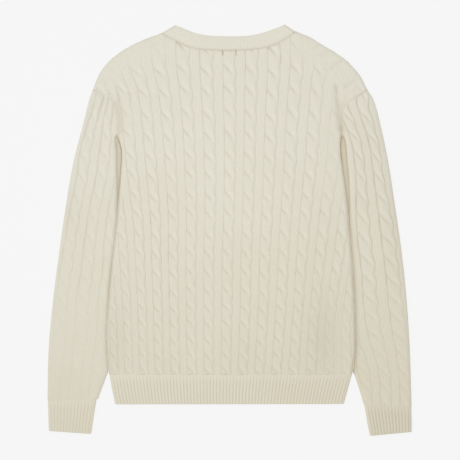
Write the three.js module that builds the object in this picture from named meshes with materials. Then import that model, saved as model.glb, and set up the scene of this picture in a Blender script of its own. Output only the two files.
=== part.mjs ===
// A cable knit sweater with a round neck, laid flat with its back up and its sleeves down beside the body.
// Millimetres. +Z is up, +Y runs to the neck, +X to the right seen from above. The underside rests on z = 0.
import * as THREE from "three";

// Driving sizes
const WALL = 3;
const BODY_HEIGHT = 8.4;
const SLEEVE_HEIGHT = 9.4;
const HEM_HEIGHT = 8.6;
const CUFF_HEIGHT = 9;
const EDGE_RADIUS = 7;
const SEAM_GAP = 0.3;
const SIDE_GAP = 0.5;
const MIDDLE = BODY_HEIGHT / 2;

// Cables: two strands that cross once a row, raised on the outer face
const CABLE_RISE = 2;
const CABLE_HALF = 0.28;
const CABLE_FLAT = 0.1;
const TWIST_SLANT = 0.21;
const GROOVE_DEPTH = 0.62;
const GROOVE_WIDTH = 0.13;
const CABLE_STEPS = 3;

// Distances over which the cables fade out at an edge and at a seam, and over which their slant does
const RELIEF_FADE = { edge: [1, 8], seam: [0, 5], slant: [5, 18] };

// Ribs
const HEM_RIBS = 72;
const CUFF_RIBS = 14;
const NECK_RIBS = 40;
const RIB_RISE = 1;
const NECK_RIB_RISE = 0.6;

// The crevice between the sleeve and the body under each arm
const SHELF_EDGE = 1.4;
const SHELF_RISE = 1.4;
const CREVICE_LIP = 2;
const WIDE_CREVICE = 5;

// Heights at which the outline changes kind
const NECK_Y = 358.2;
const COLLAR_Y = 318;
const TIP_Y = 253;
const PIT_Y = 168;
const HEM_Y = -260;
const CUFF_Y = -318;

// The body's outline from the neck to the shoulder tips, as x at each height
const SHOULDERS = [
  { y: 358.2, left: -123.3, right: 119.7 },
  { y: 354.6, left: -123.4, right: 128.0 },
  { y: 347.4, left: -143.1, right: 144.9 },
  { y: 340.2, left: -161.1, right: 156.9 },
  { y: 331.2, left: -179.1, right: 171.9 },
  { y: 320.4, left: -197.1, right: 189.9 },
  { y: 306.0, left: -215.1, right: 210.2 },
  { y: 291.6, left: -227.7, right: 224.4 },
  { y: 277.2, left: -236.7, right: 236.0 },
  { y: 253.0, left: -246.5, right: 248.5 },
];

// The armhole seams, from the shoulder tips to the armpits
const ARMHOLES = [
  { y: 253, left: -246.5, right: 248.5 },
  { y: 246, left: -231.0, right: 239.0 },
  { y: 239, left: -216.0, right: 226.5 },
  { y: 232, left: -207.0, right: 214.5 },
  { y: 225, left: -204.0, right: 208.5 },
  { y: 211, left: -201.8, right: 202.8 },
  { y: 190, left: -200.7, right: 201.0 },
  { y: 168, left: -200.7, right: 200.7 },
];

// The body's side seams, from the armpits to the hem
const SIDES = [
  { y: 168, left: -200.7, right: 200.7 },
  { y: 144, left: -194.2, right: 199.8 },
  { y: 108, left: -195.3, right: 203.8 },
  { y: 54, left: -199.4, right: 211.2 },
  { y: 0, left: -204.3, right: 215.8 },
  { y: -54, left: -210.6, right: 220.2 },
  { y: -108, left: -216.0, right: 224.0 },
  { y: -180, left: -221.2, right: 226.0 },
  { y: -216, left: -220.5, right: 226.0 },
  { y: -260, left: -217.0, right: 221.2 },
];

// The outer folds of the sleeves, from the shoulder tips to the cuffs
const SLEEVE_FOLDS = [
  { y: 253, left: -246.5, right: 248.5 },
  { y: 234, left: -253.0, right: 260.0 },
  { y: 191, left: -264.0, right: 272.0 },
  { y: 119, left: -282.0, right: 287.0 },
  { y: 47, left: -294.5, right: 298.0 },
  { y: -40, left: -307.0, right: 310.5 },
  { y: -126, left: -318.0, right: 319.5 },
  { y: -212, left: -326.0, right: 325.0 },
  { y: -320, left: -328.3, right: 328.5 },
];

// The inner edges of the sleeves below the point where they part from the body
const SLEEVE_ENDS = [
  { y: -240, left: -219.4, right: 224.6 },
  { y: -256, left: -220.6, right: 224.9 },
  { y: -275, left: -225.9, right: 229.8 },
  { y: -294, left: -233.1, right: 236.0 },
  { y: -320, left: -241.0, right: 243.4 },
];

// How far the crevice under each arm opens between the body and the sleeve
const CREVICES = [
  { y: 176, left: 0, right: 0 },
  { y: 162, left: 5.5, right: 7 },
  { y: 144, left: 9, right: 10 },
  { y: 117, left: 8, right: 9.5 },
  { y: 90, left: 5.5, right: 8 },
  { y: 54, left: 2, right: 4.5 },
  { y: 20, left: 0, right: 1.5 },
  { y: -20, left: 0, right: 0 },
];

// The back neckline, which is the lower edge of the neckband
const NECKLINE = [
  { x: -123.3, y: 354.6 },
  { x: -98.1, y: 342.0 },
  { x: -71.1, y: 329.6 },
  { x: -35.1, y: 324.8 },
  { x: 0.9, y: 324.0 },
  { x: 36.9, y: 325.6 },
  { x: 72.9, y: 331.2 },
  { x: 99.9, y: 343.8 },
  { x: 119.7, y: 358.2 },
];

// The upper edge of the back half of the neckband
const BAND_TOP = [
  { x: -98.1, y: 369.0 },
  { x: -80.1, y: 361.8 },
  { x: -62.1, y: 354.8 },
  { x: -44.1, y: 351.0 },
  { x: -26.1, y: 349.2 },
  { x: 0.9, y: 348.7 },
  { x: 27.9, y: 349.3 },
  { x: 45.9, y: 351.8 },
  { x: 63.9, y: 356.4 },
  { x: 81.9, y: 362.7 },
  { x: 99.9, y: 369.9 },
];

// Where the neckband turns over at each shoulder, and how deep its front half hangs
const BAND_FOLDS = {
  left: { upper: { x: -94.2, y: 367.4 }, lower: { x: -119.5, y: 352.7 }, out: { x: -0.91, y: 0.41 } },
  right: { upper: { x: 96, y: 368.3 }, lower: { x: 115.7, y: 355.4 }, out: { x: 0.87, y: 0.49 } },
};
const FRONT_UPPER_DROP = 84;
const FRONT_LOWER_DROP = 95;
const FRONT_STEPS = 18;
const FOLD_STEPS = 6;

// Rows in which the body's cables cross
const TWISTS = [
  { row: -1, y: 372 },
  { row: 0, y: 331 },
  { row: 1, y: 290 },
  { row: 2, y: 253 },
  { row: 3, y: 211 },
  { row: 4, y: 173 },
  { row: 5, y: 135 },
  { row: 6, y: 101 },
  { row: 7, y: 63 },
  { row: 8, y: 31 },
  { row: 9, y: -7 },
  { row: 10, y: -40 },
  { row: 11, y: -74 },
  { row: 12, y: -108 },
  { row: 13, y: -139 },
  { row: 14, y: -167 },
  { row: 15, y: -197 },
  { row: 16, y: -225 },
  { row: 17, y: -252 },
  { row: 18, y: -279 },
];

// Rows in which the sleeves' cables cross
const SLEEVE_TWISTS = [
  { row: 2, y: 253 },
  { row: 3, y: 211 },
  { row: 4, y: 173 },
  { row: 5, y: 138 },
  { row: 6, y: 102 },
  { row: 7, y: 65 },
  { row: 8, y: 26 },
  { row: 9, y: -11 },
  { row: 10, y: -50 },
  { row: 11, y: -86 },
  { row: 12, y: -120 },
  { row: 13, y: -153 },
  { row: 14, y: -186 },
  { row: 15, y: -219 },
  { row: 16, y: -252 },
  { row: 17, y: -281 },
  { row: 18, y: -310 },
  { row: 19, y: -339 },
];

// The body's middle cable, the spacing of the cables on each side of it and how it widens outward
const BODY_COLUMNS = [
  { y: 331, middle: 0.2, left: 41.8, leftBend: 0.2, right: 39.6, rightBend: 0.3 },
  { y: 297, middle: 0.3, left: 41.2, leftBend: 0.3, right: 39.3, rightBend: 0.4 },
  { y: 261, middle: 0.5, left: 40.6, leftBend: -0.3, right: 38.7, rightBend: 0.2 },
  { y: 225, middle: 1.2, left: 39.8, leftBend: -0.45, right: 36.9, rightBend: 0.4 },
  { y: 189, middle: 1.6, left: 38.3, leftBend: -0.3, right: 35.6, rightBend: 0.5 },
  { y: 153, middle: 1.6, left: 37.1, leftBend: -0.2, right: 35, rightBend: 0.5 },
  { y: 117, middle: 1.4, left: 36, leftBend: -0.12, right: 34.4, rightBend: 0.5 },
  { y: 81, middle: 0.7, left: 35, leftBend: -0.12, right: 34, rightBend: 0.4 },
  { y: 45, middle: 0.1, left: 34.4, leftBend: -0.18, right: 33.9, rightBend: 0.22 },
  { y: 9, middle: -1.1, left: 34, leftBend: -0.3, right: 33.8, rightBend: 0.1 },
  { y: -27, middle: -2.4, left: 34.2, leftBend: -0.45, right: 33.7, rightBend: 0 },
  { y: -63, middle: -3.5, left: 33.9, leftBend: -0.5, right: 33.8, rightBend: -0.13 },
  { y: -99, middle: -3.9, left: 33.5, leftBend: -0.5, right: 33.8, rightBend: -0.27 },
  { y: -135, middle: -4.2, left: 33.3, leftBend: -0.54, right: 33.5, rightBend: -0.32 },
  { y: -171, middle: -4.8, left: 32.9, leftBend: -0.53, right: 32.8, rightBend: -0.3 },
  { y: -207, middle: -5.1, left: 32.5, leftBend: -0.5, right: 31.4, rightBend: -0.08 },
  { y: -243, middle: -5.6, left: 31.8, leftBend: -0.42, right: 30, rightBend: 0.16 },
  { y: -261, middle: -5.8, left: 31.4, leftBend: -0.38, right: 29.5, rightBend: 0.22 },
];

// The sleeves' first cable and the spacing out to the next
const SLEEVE_COLUMNS = {
  left: [
    { y: 234, first: -212, pitch: 22 },
    { y: 199, first: -219, pitch: 26 },
    { y: 145, first: -223.7, pitch: 34.6 },
    { y: 91, first: -231.1, pitch: 34.5 },
    { y: 37, first: -242.3, pitch: 34.5 },
    { y: -17, first: -250.2, pitch: 35.5 },
    { y: -71, first: -255.6, pitch: 38.2 },
    { y: -125, first: -263.5, pitch: 38.4 },
    { y: -179, first: -266, pitch: 39.4 },
    { y: -233, first: -272, pitch: 37.8 },
    { y: -287, first: -279, pitch: 36 },
  ],
  right: [
    { y: 226, first: 203, pitch: 37 },
    { y: 172, first: 224.5, pitch: 31.6 },
    { y: 145, first: 231.3, pitch: 31.3 },
    { y: 91, first: 237.2, pitch: 32.1 },
    { y: 37, first: 239.4, pitch: 39.2 },
    { y: -17, first: 243, pitch: 43.2 },
    { y: -71, first: 250, pitch: 43 },
    { y: -125, first: 253.8, pitch: 44.8 },
    { y: -179, first: 260.5, pitch: 44.8 },
    { y: -206, first: 267.5, pitch: 42.5 },
    { y: -233, first: 274.5, pitch: 38.7 },
    { y: -260, first: 279.5, pitch: 36.2 },
    { y: -290, first: 282, pitch: 35 },
  ],
};

// The sides of the hem band and of the cuffs, from their seams down
const HEM_SIDES = [
  { part: 0, left: { x: -216.6, y: -260.3 }, right: { x: 220.8, y: -260.3 } },
  { part: 0.5, left: { x: -211.8, y: -287 }, right: { x: 213.4, y: -287 } },
  { part: 1, left: { x: -206.2, y: -314 }, right: { x: 206.2, y: -313.4 } },
];
const CUFF_SIDES = {
  left: [
    { part: 0, left: { x: -327.6, y: -306.4 }, right: { x: -239.6, y: -304.8 } },
    { part: 0.5, left: { x: -326.8, y: -334 }, right: { x: -244.6, y: -336 } },
    { part: 1, left: { x: -325.8, y: -361.8 }, right: { x: -249.3, y: -367.2 } },
  ],
  right: [
    { part: 0, left: { x: 243.2, y: -315.6 }, right: { x: 327.8, y: -318.2 } },
    { part: 0.5, left: { x: 247.6, y: -343 }, right: { x: 328.4, y: -341 } },
    { part: 1, left: { x: 252.9, y: -370.8 }, right: { x: 328.5, y: -363.6 } },
  ],
};

// The largest soft folds of the upper faces: a line, its half width and its rise, negative for a trough
const FOLDS = [
  { name: "right armhole pinch", x1: 192, y1: 258, x2: 193.5, y2: 214, width: 4, rise: -1.6 },
  { name: "right armpit pinch", x1: 193.5, y1: 214, x2: 198, y2: 178, width: 4, rise: -1.3 },
  { name: "right shoulder crease", x1: 210, y1: 256, x2: 226, y2: 269, width: 5, rise: -0.9 },
  { name: "left armhole valley", x1: -202, y1: 226, x2: -194, y2: 176, width: 9, rise: -1.1 },
  { name: "left sleeve ridge", x1: -262, y1: 150, x2: -290, y2: -20, width: 14, rise: 0.7 },
  { name: "right sleeve ridge", x1: 258, y1: 190, x2: 282, y2: 20, width: 14, rise: 0.7 },
];

const FABRIC_COLOUR = 0xe3e0d2;
const RIB_COLOUR = 0xdcd8c6;
const FABRIC_ROUGHNESS = 0.95;

// A smooth value of a table's column at a place between its rows
function valueAt(rows, key, column, at) {
  const falling = rows[0][key] > rows[rows.length - 1][key];
  const place = (i) => (falling ? -rows[i][key] : rows[i][key]);
  const target = falling ? -at : at;
  const last = rows.length - 1;
  if (target <= place(0)) return rows[0][column];
  if (target >= place(last)) return rows[last][column];
  let i = 0;
  while (place(i + 1) < target) i += 1;
  const slope = (n) => {
    const before = Math.max(n - 1, 0);
    const after = Math.min(n + 1, last);
    return (rows[after][column] - rows[before][column]) / (place(after) - place(before));
  };
  const span = place(i + 1) - place(i);
  const s = (target - place(i)) / span;
  const rise = s * s * (3 - 2 * s);
  const start = s * (1 - s) * (1 - s) * span * slope(i);
  const end = s * s * (s - 1) * span * slope(i + 1);
  return rows[i][column] * (1 - rise) + rows[i + 1][column] * rise + start + end;
}

function clamp01(v) {
  return Math.min(Math.max(v, 0), 1);
}

function mix(a, b, s) {
  return a + (b - a) * s;
}

function ease(low, high, v) {
  const s = clamp01((v - low) / (high - low));
  return s * s * (3 - 2 * s);
}

// Rise of a rounded edge at a distance in from it, from 0 at the edge to 1 past the radius
function rounded(distance, radius) {
  const s = 1 - clamp01(distance / radius);
  return Math.sqrt(1 - s * s);
}

function distanceToLine(x, y, x1, y1, x2, y2) {
  const dx = x2 - x1;
  const dy = y2 - y1;
  const s = clamp01(((x - x1) * dx + (y - y1) * dy) / (dx * dx + dy * dy));
  return Math.hypot(x - x1 - s * dx, y - y1 - s * dy);
}

function distanceTo(path, x, y) {
  let nearest = Infinity;
  for (let i = 0; i + 1 < path.length; i += 1) {
    const a = path[i];
    const b = path[i + 1];
    nearest = Math.min(nearest, distanceToLine(x, y, a.x, a.y, b.x, b.y));
  }
  return nearest;
}

// The body's half outline: shoulder, armhole, then side seam
function bodyX(side, y) {
  if (y >= TIP_Y) return valueAt(SHOULDERS, "y", side, y);
  if (y >= PIT_Y) return valueAt(ARMHOLES, "y", side, y);
  return valueAt(SIDES, "y", side, y);
}

const SIGN = { left: -1, right: 1 };

// The sleeve's own edges: its armhole and inner edge, and its outer fold
function sleeveInnerX(side, y) {
  if (y >= PIT_Y) return valueAt(ARMHOLES, "y", side, y);
  if (y >= SLEEVE_ENDS[0].y) return valueAt(SIDES, "y", side, y) + SIGN[side] * SIDE_GAP;
  return valueAt(SLEEVE_ENDS, "y", side, y);
}

function sleeveOuterX(side, y) {
  return valueAt(SLEEVE_FOLDS, "y", side, y);
}

const PATH_STEP = 8;

function pathOf(xAt, from, to) {
  const count = Math.ceil(Math.abs(from - to) / PATH_STEP);
  const path = [];
  for (let i = 0; i <= count; i += 1) {
    const y = mix(from, to, i / count);
    path.push({ x: xAt(y), y });
  }
  return path;
}

// Edge lines that the wall's profile is measured from
const PATHS = {};
for (const side of ["left", "right"]) {
  PATHS[side] = {
    shoulder: pathOf((y) => bodyX(side, y), NECK_Y, TIP_Y).concat(
      pathOf((y) => sleeveOuterX(side, y), TIP_Y, CUFF_Y).slice(1),
    ),
    armhole: pathOf((y) => valueAt(ARMHOLES, "y", side, y), TIP_Y, PIT_Y),
    side: pathOf((y) => valueAt(SIDES, "y", side, y), PIT_Y, HEM_Y),
    inner: pathOf((y) => sleeveInnerX(side, y - 1e-6), PIT_Y, CUFF_Y),
  };
}

function neckY(x) {
  return valueAt(NECKLINE, "x", "y", x);
}

// Distance in from the body's turned edges, and from its flat seams
function bodyEdgeDistance(x, y) {
  const paths = x < 0 ? PATHS.left : PATHS.right;
  return Math.min(distanceTo(paths.shoulder, x, y), distanceTo(paths.side, x, y));
}

function bodySeamDistance(x, y) {
  const paths = x < 0 ? PATHS.left : PATHS.right;
  const neck = neckY(x) - y;
  return Math.min(distanceTo(paths.armhole, x, y), Math.max(neck, 0), y - HEM_Y);
}

function foldRise(x, y) {
  return FOLDS.reduce((sum, fold) => {
    const away = distanceToLine(x, y, fold.x1, fold.y1, fold.x2, fold.y2) / fold.width;
    return sum + fold.rise * Math.exp(-away * away);
  }, 0);
}

// Rise of a cable above the plain ground, across it in parts of a pitch and along it in rows
function cableRise(across, along) {
  const p = across - Math.round(across);
  const dome = Math.sqrt(Math.max(0, 1 - (p / CABLE_HALF) ** 2));
  const phase = along - (TWIST_SLANT * p) / CABLE_HALF;
  const off = Math.abs(phase - Math.round(phase)) / GROOVE_WIDTH;
  return CABLE_RISE * dome * (1 - GROOVE_DEPTH * Math.exp(-off * off));
}

// How far a mesh line on a cable slides along it, so that the grooves run aslant
function slantAt(across) {
  const p = across - Math.round(across);
  if (Math.abs(p) <= CABLE_HALF) return (TWIST_SLANT * p) / CABLE_HALF;
  return (Math.sign(p) * TWIST_SLANT * (0.5 - Math.abs(p))) / (0.5 - CABLE_HALF);
}

const POINTS_PER_MM = 2000;

// A closed surface of shared points, grown from rows that are zipped together
class Skin {
  constructor() {
    this.points = [];
    this.faces = [];
    this.known = new Map();
  }

  point(x, y, z) {
    const key = [x, y, z].map((v) => Math.round(v * POINTS_PER_MM)).join();
    if (!this.known.has(key)) {
      this.known.set(key, this.points.length);
      this.points.push(new THREE.Vector3(x, y, z));
    }
    return this.known.get(key);
  }

  face(a, b, c) {
    if (a !== b && b !== c && c !== a) this.faces.push(a, b, c);
  }

  // Faces between two rows of { u, i }. They look up where a is the upper row and both run to the right.
  zip(a, b) {
    let i = 0;
    let j = 0;
    while (i < a.length - 1 || j < b.length - 1) {
      const stepA = j === b.length - 1 || (i < a.length - 1 && a[i + 1].u <= b[j + 1].u);
      if (stepA) {
        this.face(a[i].i, b[j].i, a[i + 1].i);
        i += 1;
      } else {
        this.face(a[i].i, b[j].i, b[j + 1].i);
        j += 1;
      }
    }
  }

  // A sheet of rows from the top down, facing up, or down where under is set
  sheet(rows, under) {
    for (let n = 0; n + 1 < rows.length; n += 1) {
      if (under) this.zip(flipped(rows[n]), flipped(rows[n + 1]));
      else this.zip(rows[n], rows[n + 1]);
    }
  }

  mesh(name, colour) {
    const geometry = new THREE.BufferGeometry().setFromPoints(this.points);
    geometry.setIndex(this.faces);
    geometry.computeVertexNormals();
    const look = { color: colour, roughness: FABRIC_ROUGHNESS, metalness: 0 };
    const mesh = new THREE.Mesh(geometry, new THREE.MeshStandardMaterial(look));
    mesh.name = name;
    return mesh;
  }
}

function flipped(row) {
  return row.map(({ u, i }) => ({ u: -u, i })).reverse();
}

// The line of the first or last points of a stack of rows
function endsOf(rows, end) {
  return rows.map((row, n) => ({ u: row[0].level ?? n, i: row[end === "left" ? 0 : row.length - 1].i }));
}

// Even steps from one value to another, with so many parts to a unit
function steps(from, to, parts) {
  const count = Math.round((to - from) * parts);
  return Array.from({ length: count + 1 }, (_, n) => from + n / parts);
}

// Rows of points in the body, in rows of cable from the top, closer where the outline turns sharply
const DENSE_STEPS = 6;
const TOP_LEVELS = steps(-2 / 3, 1 / 3, DENSE_STEPS).concat(steps(2 / 3, 5 / 3, CABLE_STEPS));
const ARMHOLE_LEVELS = steps(2, 8 / 3, DENSE_STEPS).concat(steps(3, 4, CABLE_STEPS));
const FIRST_SIDE_LEVEL = 13 / 3;
const SIDE_LEVELS = steps(FIRST_SIDE_LEVEL, 17, CABLE_STEPS);
const HEM_LEVEL = 17.4;
const LAST_SLEEVE_LEVEL = 18;
const CUFF_LEVEL = 18.5;

function bodyY(level) {
  return Math.min(valueAt(TWISTS, "row", "y", level), NECK_Y);
}

function sleeveY(level) {
  return level <= 4 ? bodyY(level) : valueAt(SLEEVE_TWISTS, "row", "y", level);
}

function bodyRowAt(level) {
  return { level, y: bodyY(level) };
}

const pitRow = { level: valueAt(TWISTS, "y", "row", PIT_Y), y: PIT_Y };
const armholeRows = [...ARMHOLE_LEVELS.map(bodyRowAt), pitRow];
const bodyRows = [
  ...TOP_LEVELS.map(bodyRowAt),
  ...armholeRows,
  ...SIDE_LEVELS.map(bodyRowAt),
  { level: HEM_LEVEL, y: HEM_Y },
];

function isWhole(level) {
  return Math.abs(level - Math.round(level)) < 1e-6;
}

// How much longer a step along x is than the same step square to an edge that leans
const LEAN_REACH = 3;

function leanOf(xAt, y) {
  const high = y + LEAN_REACH;
  const low = Math.max(y - LEAN_REACH, HEM_Y);
  return Math.hypot(1, (xAt(high) - xAt(low)) / (high - low));
}

function bodyLean(side, y) {
  const xAt = (at) => (y >= TIP_Y ? valueAt(SHOULDERS, "y", side, at) : valueAt(SIDES, "y", side, at));
  return leanOf(xAt, y);
}

// Places across the body in cable spacings from its middle cable
function bodyT(x, y) {
  const off = x - valueAt(BODY_COLUMNS, "y", "middle", y);
  const side = off < 0 ? "left" : "right";
  const pitch = valueAt(BODY_COLUMNS, "y", side, y);
  const bend = valueAt(BODY_COLUMNS, "y", `${side}Bend`, y);
  return (2 * off) / (pitch + Math.sqrt(pitch * pitch + 4 * bend * Math.abs(off)));
}

function bodyColumnX(t, y) {
  const side = t < 0 ? "left" : "right";
  const pitch = valueAt(BODY_COLUMNS, "y", side, y);
  const bend = valueAt(BODY_COLUMNS, "y", `${side}Bend`, y);
  return valueAt(BODY_COLUMNS, "y", "middle", y) + t * (pitch + bend * Math.abs(t));
}

// Lines of points down the cloth, in steps in from an edge or a seam and across the cables
const EDGE_STEPS = [0, 1, 3, EDGE_RADIUS];
const IN_STEPS = [WALL, 8];
const SEAM_STEPS = [0, 2.5];
const CABLE_LINES = [-CABLE_HALF, -CABLE_FLAT, CABLE_FLAT, CABLE_HALF];
const LINE_MARGIN = 2.5;
const MOST_COLUMNS = 8;
const NECK_COLUMNS = 3;
const SLEEVE_COLUMN_REACH = 3;
const BODY_PLAIN_LINES = steps(-6, 6, 1);
const SLEEVE_PLAIN_LINES = steps(-SLEEVE_COLUMN_REACH, SLEEVE_COLUMN_REACH, 1);

function cableLines(from, to) {
  const lines = [];
  for (let column = from; column <= to; column += 1) lines.push(...CABLE_LINES.map((p) => column + p));
  return lines;
}

// The places where a row of a panel has points: its two ends, its turned edges and its lines between them
function panelPlaces({ y }, lines, insets) {
  const turned = y >= TIP_Y - 1e-6 || y <= PIT_Y + 1e-6;
  const places = [];
  const reach = {};
  for (const side of ["left", "right"]) {
    const end = bodyX(side, y);
    const lean = turned ? bodyLean(side, y) : 1;
    const offsets = turned ? insets.turned : insets.flat;
    for (const offset of offsets) {
      const x = end - SIGN[side] * offset * lean;
      places.push({ x, y, u: bodyT(x, y), rim: turned && offset === offsets[0] });
    }
    reach[side] = end - SIGN[side] * (offsets[offsets.length - 1] * lean + LINE_MARGIN);
  }
  for (const t of lines) {
    const x = bodyColumnX(t, y);
    if (x > reach.left && x < reach.right) places.push({ x, y, u: t, line: true });
  }
  return places.sort((a, b) => a.x - b.x);
}

// The back neckline as the line of points that the panel and the neckband share
const SETTLING_PASSES = 6;

function neckStop(t) {
  let y = NECKLINE[0].y;
  for (let pass = 0; pass < SETTLING_PASSES; pass += 1) y = neckY(bodyColumnX(t, y));
  return { x: bodyColumnX(t, y), y, u: t };
}

function stopAt({ x, y }) {
  return { x, y, u: bodyT(x, y) };
}

const firstStop = stopAt(BAND_FOLDS.left.lower);
const lastStop = stopAt(BAND_FOLDS.right.lower);
const backStops = [
  firstStop,
  ...cableLines(-NECK_COLUMNS, NECK_COLUMNS)
    .map(neckStop)
    .filter(({ x }) => x > firstStop.x + LINE_MARGIN && x < lastStop.x - LINE_MARGIN),
  lastStop,
];

// The neckband's front half hangs from the same folds as its back half
function frontEdge(part, edge, drop) {
  const left = BAND_FOLDS.left[edge];
  const right = BAND_FOLDS.right[edge];
  const angle = part * Math.PI;
  const across = (1 - Math.cos(angle)) / 2;
  return { x: mix(left.x, right.x, across), y: mix(left.y, right.y, across) - drop * Math.sin(angle) };
}

const frontStops = steps(0, 1, FRONT_STEPS).map((part) => stopAt(frontEdge(part, "lower", FRONT_LOWER_DROP)));

// Height of a neckline of stops at an x
function neckAt(stops, x) {
  const line = [NECKLINE[0], ...stops, NECKLINE[NECKLINE.length - 1]];
  let i = 0;
  while (i < line.length - 2 && line[i + 1].x < x) i += 1;
  return mix(line[i].y, line[i + 1].y, clamp01((x - line[i].x) / (line[i + 1].x - line[i].x)));
}

// A row's places under a neckline: what the neckline cuts off gives way to the stops on it
function underNeck(row, places, stops) {
  const kept = places
    .filter((place) => place.rim || place.y < neckAt(stops, place.x) - 1)
    .map((place) => ({ ...place, y: Math.min(place.y, neckAt(stops, place.x)) }));
  return [...kept, ...stops.filter((stop) => stop.y < row.y)].sort((a, b) => a.x - b.x);
}

// The back panel's faces
const HALF_GAP = SEAM_GAP / 2;
const BACK_CLOSED = MIDDLE + HALF_GAP;
const FRONT_CLOSED = MIDDLE - HALF_GAP;
const BODY_CABLE_LINES = cableLines(-MOST_COLUMNS, MOST_COLUMNS);

function reliefFade(edge, seam) {
  return ease(...RELIEF_FADE.edge, edge) * ease(...RELIEF_FADE.seam, seam);
}

function backRow(row, skin) {
  const places = panelPlaces(row, BODY_CABLE_LINES, { turned: EDGE_STEPS, flat: SEAM_STEPS });
  return underNeck(row, places, backStops).map((place) => {
    const clear = Math.min(bodyEdgeDistance(place.x, place.y), bodySeamDistance(place.x, place.y));
    const slides = place.line && row.y !== HEM_Y;
    const level = row.level + (slides ? slantAt(place.u) * ease(...RELIEF_FADE.slant, clear) : 0);
    const y = slides ? bodyY(level) : place.y;
    const x = slides ? bodyColumnX(place.u, y) : place.x;
    const edge = place.rim ? 0 : bodyEdgeDistance(x, y);
    const relief = cableRise(place.u, level) * reliefFade(edge, bodySeamDistance(x, y));
    const z = BACK_CLOSED + (BODY_HEIGHT - BACK_CLOSED) * rounded(edge, EDGE_RADIUS);
    const fold = foldRise(x, y) * ease(0, EDGE_RADIUS, edge);
    return { u: place.u, level: row.level, i: skin.point(x, y, z + relief + fold) };
  });
}

function backInnerRow(row, skin) {
  const places = panelPlaces(row, BODY_PLAIN_LINES, { turned: IN_STEPS, flat: [0] });
  return underNeck(row, places, backStops).map((place) => {
    const edge = place.rim ? WALL : bodyEdgeDistance(place.x, place.y);
    const z = BACK_CLOSED + (BODY_HEIGHT - WALL - BACK_CLOSED) * rounded(edge - WALL, EDGE_RADIUS - WALL);
    return { u: place.u, level: row.level, i: skin.point(place.x, place.y, z) };
  });
}

// The front panel's faces, of which the outer one rests flat
function frontRow(row, skin) {
  const places = panelPlaces(row, BODY_PLAIN_LINES, { turned: EDGE_STEPS, flat: [0] });
  return underNeck(row, places, frontStops).map((place) => {
    const edge = place.rim ? 0 : bodyEdgeDistance(place.x, place.y);
    const z = FRONT_CLOSED * (1 - rounded(edge, EDGE_RADIUS));
    return { u: place.u, level: row.level, i: skin.point(place.x, place.y, z) };
  });
}

function frontInnerRow(row, skin) {
  const places = panelPlaces(row, BODY_PLAIN_LINES, { turned: IN_STEPS, flat: [0] });
  return underNeck(row, places, frontStops).map((place) => {
    const edge = place.rim ? WALL : bodyEdgeDistance(place.x, place.y);
    const z = FRONT_CLOSED + (WALL - FRONT_CLOSED) * rounded(edge - WALL, EDGE_RADIUS - WALL);
    return { u: place.u, level: row.level, i: skin.point(place.x, place.y, z) };
  });
}

// Joins an upper and a lower sheet of one wall round their whole border
function closeWall(skin, upper, lower) {
  skin.sheet(upper, false);
  skin.sheet(lower, true);
  skin.zip(endsOf(upper, "left"), endsOf(lower, "left"));
  skin.zip(endsOf(lower, "right"), endsOf(upper, "right"));
  skin.zip(lower[0], upper[0]);
  skin.zip(upper[upper.length - 1], lower[lower.length - 1]);
}

function isPanelRow({ level, y }) {
  return y > COLLAR_Y || (y <= TIP_Y && y >= PIT_Y) || isWhole(level) || y === HEM_Y;
}

function backPanel() {
  const skin = new Skin();
  const outer = bodyRows.map((row) => backRow(row, skin));
  const inner = bodyRows.filter(isPanelRow).map((row) => backInnerRow(row, skin));
  closeWall(skin, outer, inner);
  return skin.mesh("back_panel", FABRIC_COLOUR);
}

function frontPanel() {
  const skin = new Skin();
  const rows = bodyRows.filter(isPanelRow);
  const inner = rows.map((row) => frontInnerRow(row, skin));
  const outer = rows.map((row) => frontRow(row, skin));
  closeWall(skin, inner, outer);
  return skin.mesh("front_panel", FABRIC_COLOUR);
}

// Sleeves
function crevice(side, y) {
  return Math.max(valueAt(CREVICES, "y", side, y), 0);
}

const BODY_HEIGHT_ABOVE = 230;
const SLEEVE_HEIGHT_BELOW = 120;

function sleeveHeight(y) {
  return mix(SLEEVE_HEIGHT, BODY_HEIGHT, ease(SLEEVE_HEIGHT_BELOW, BODY_HEIGHT_ABOVE, y));
}

function shelfEdge(side, y) {
  return mix(MIDDLE, SHELF_EDGE, clamp01(crevice(side, y) / WIDE_CREVICE));
}

function sleeveDistances(side, x, y) {
  const outer = distanceTo(PATHS[side].shoulder, x, y);
  const inner = distanceTo(PATHS[side].inner, x, y);
  return { outer, inner, open: crevice(side, y) };
}

// Height of a sleeve's turned rim: half way up, or low where the crevice's shelf runs out to the body
function rimHeight(side, place) {
  return place.rim === "inner" ? shelfEdge(side, place.y) : MIDDLE;
}

function sleeveTop(side, x, y) {
  const { outer, inner, open } = sleeveDistances(side, x, y);
  const height = sleeveHeight(y);
  const edge = shelfEdge(side, y);
  const shelf = SHELF_RISE * clamp01(open / WIDE_CREVICE);
  const turn = (height - edge - shelf) * rounded(inner - open, EDGE_RADIUS);
  const nearInner = edge + shelf * rounded(inner, CREVICE_LIP) + turn;
  const nearOuter = MIDDLE + (height - MIDDLE) * rounded(outer, EDGE_RADIUS);
  return Math.min(nearInner, nearOuter);
}

function sleeveUnder(side, x, y) {
  const { outer, inner } = sleeveDistances(side, x, y);
  return Math.max(
    shelfEdge(side, y) * (1 - rounded(inner, EDGE_RADIUS)),
    MIDDLE * (1 - rounded(outer, EDGE_RADIUS)),
  );
}

function sleeveSlit(side, x, y, roof) {
  const { outer, inner, open } = sleeveDistances(side, x, y);
  const lift = rounded(Math.min(outer, inner - open) - WALL, EDGE_RADIUS - WALL);
  const level = roof ? sleeveHeight(y) - WALL : WALL;
  return MIDDLE + (level - MIDDLE) * lift;
}

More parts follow.
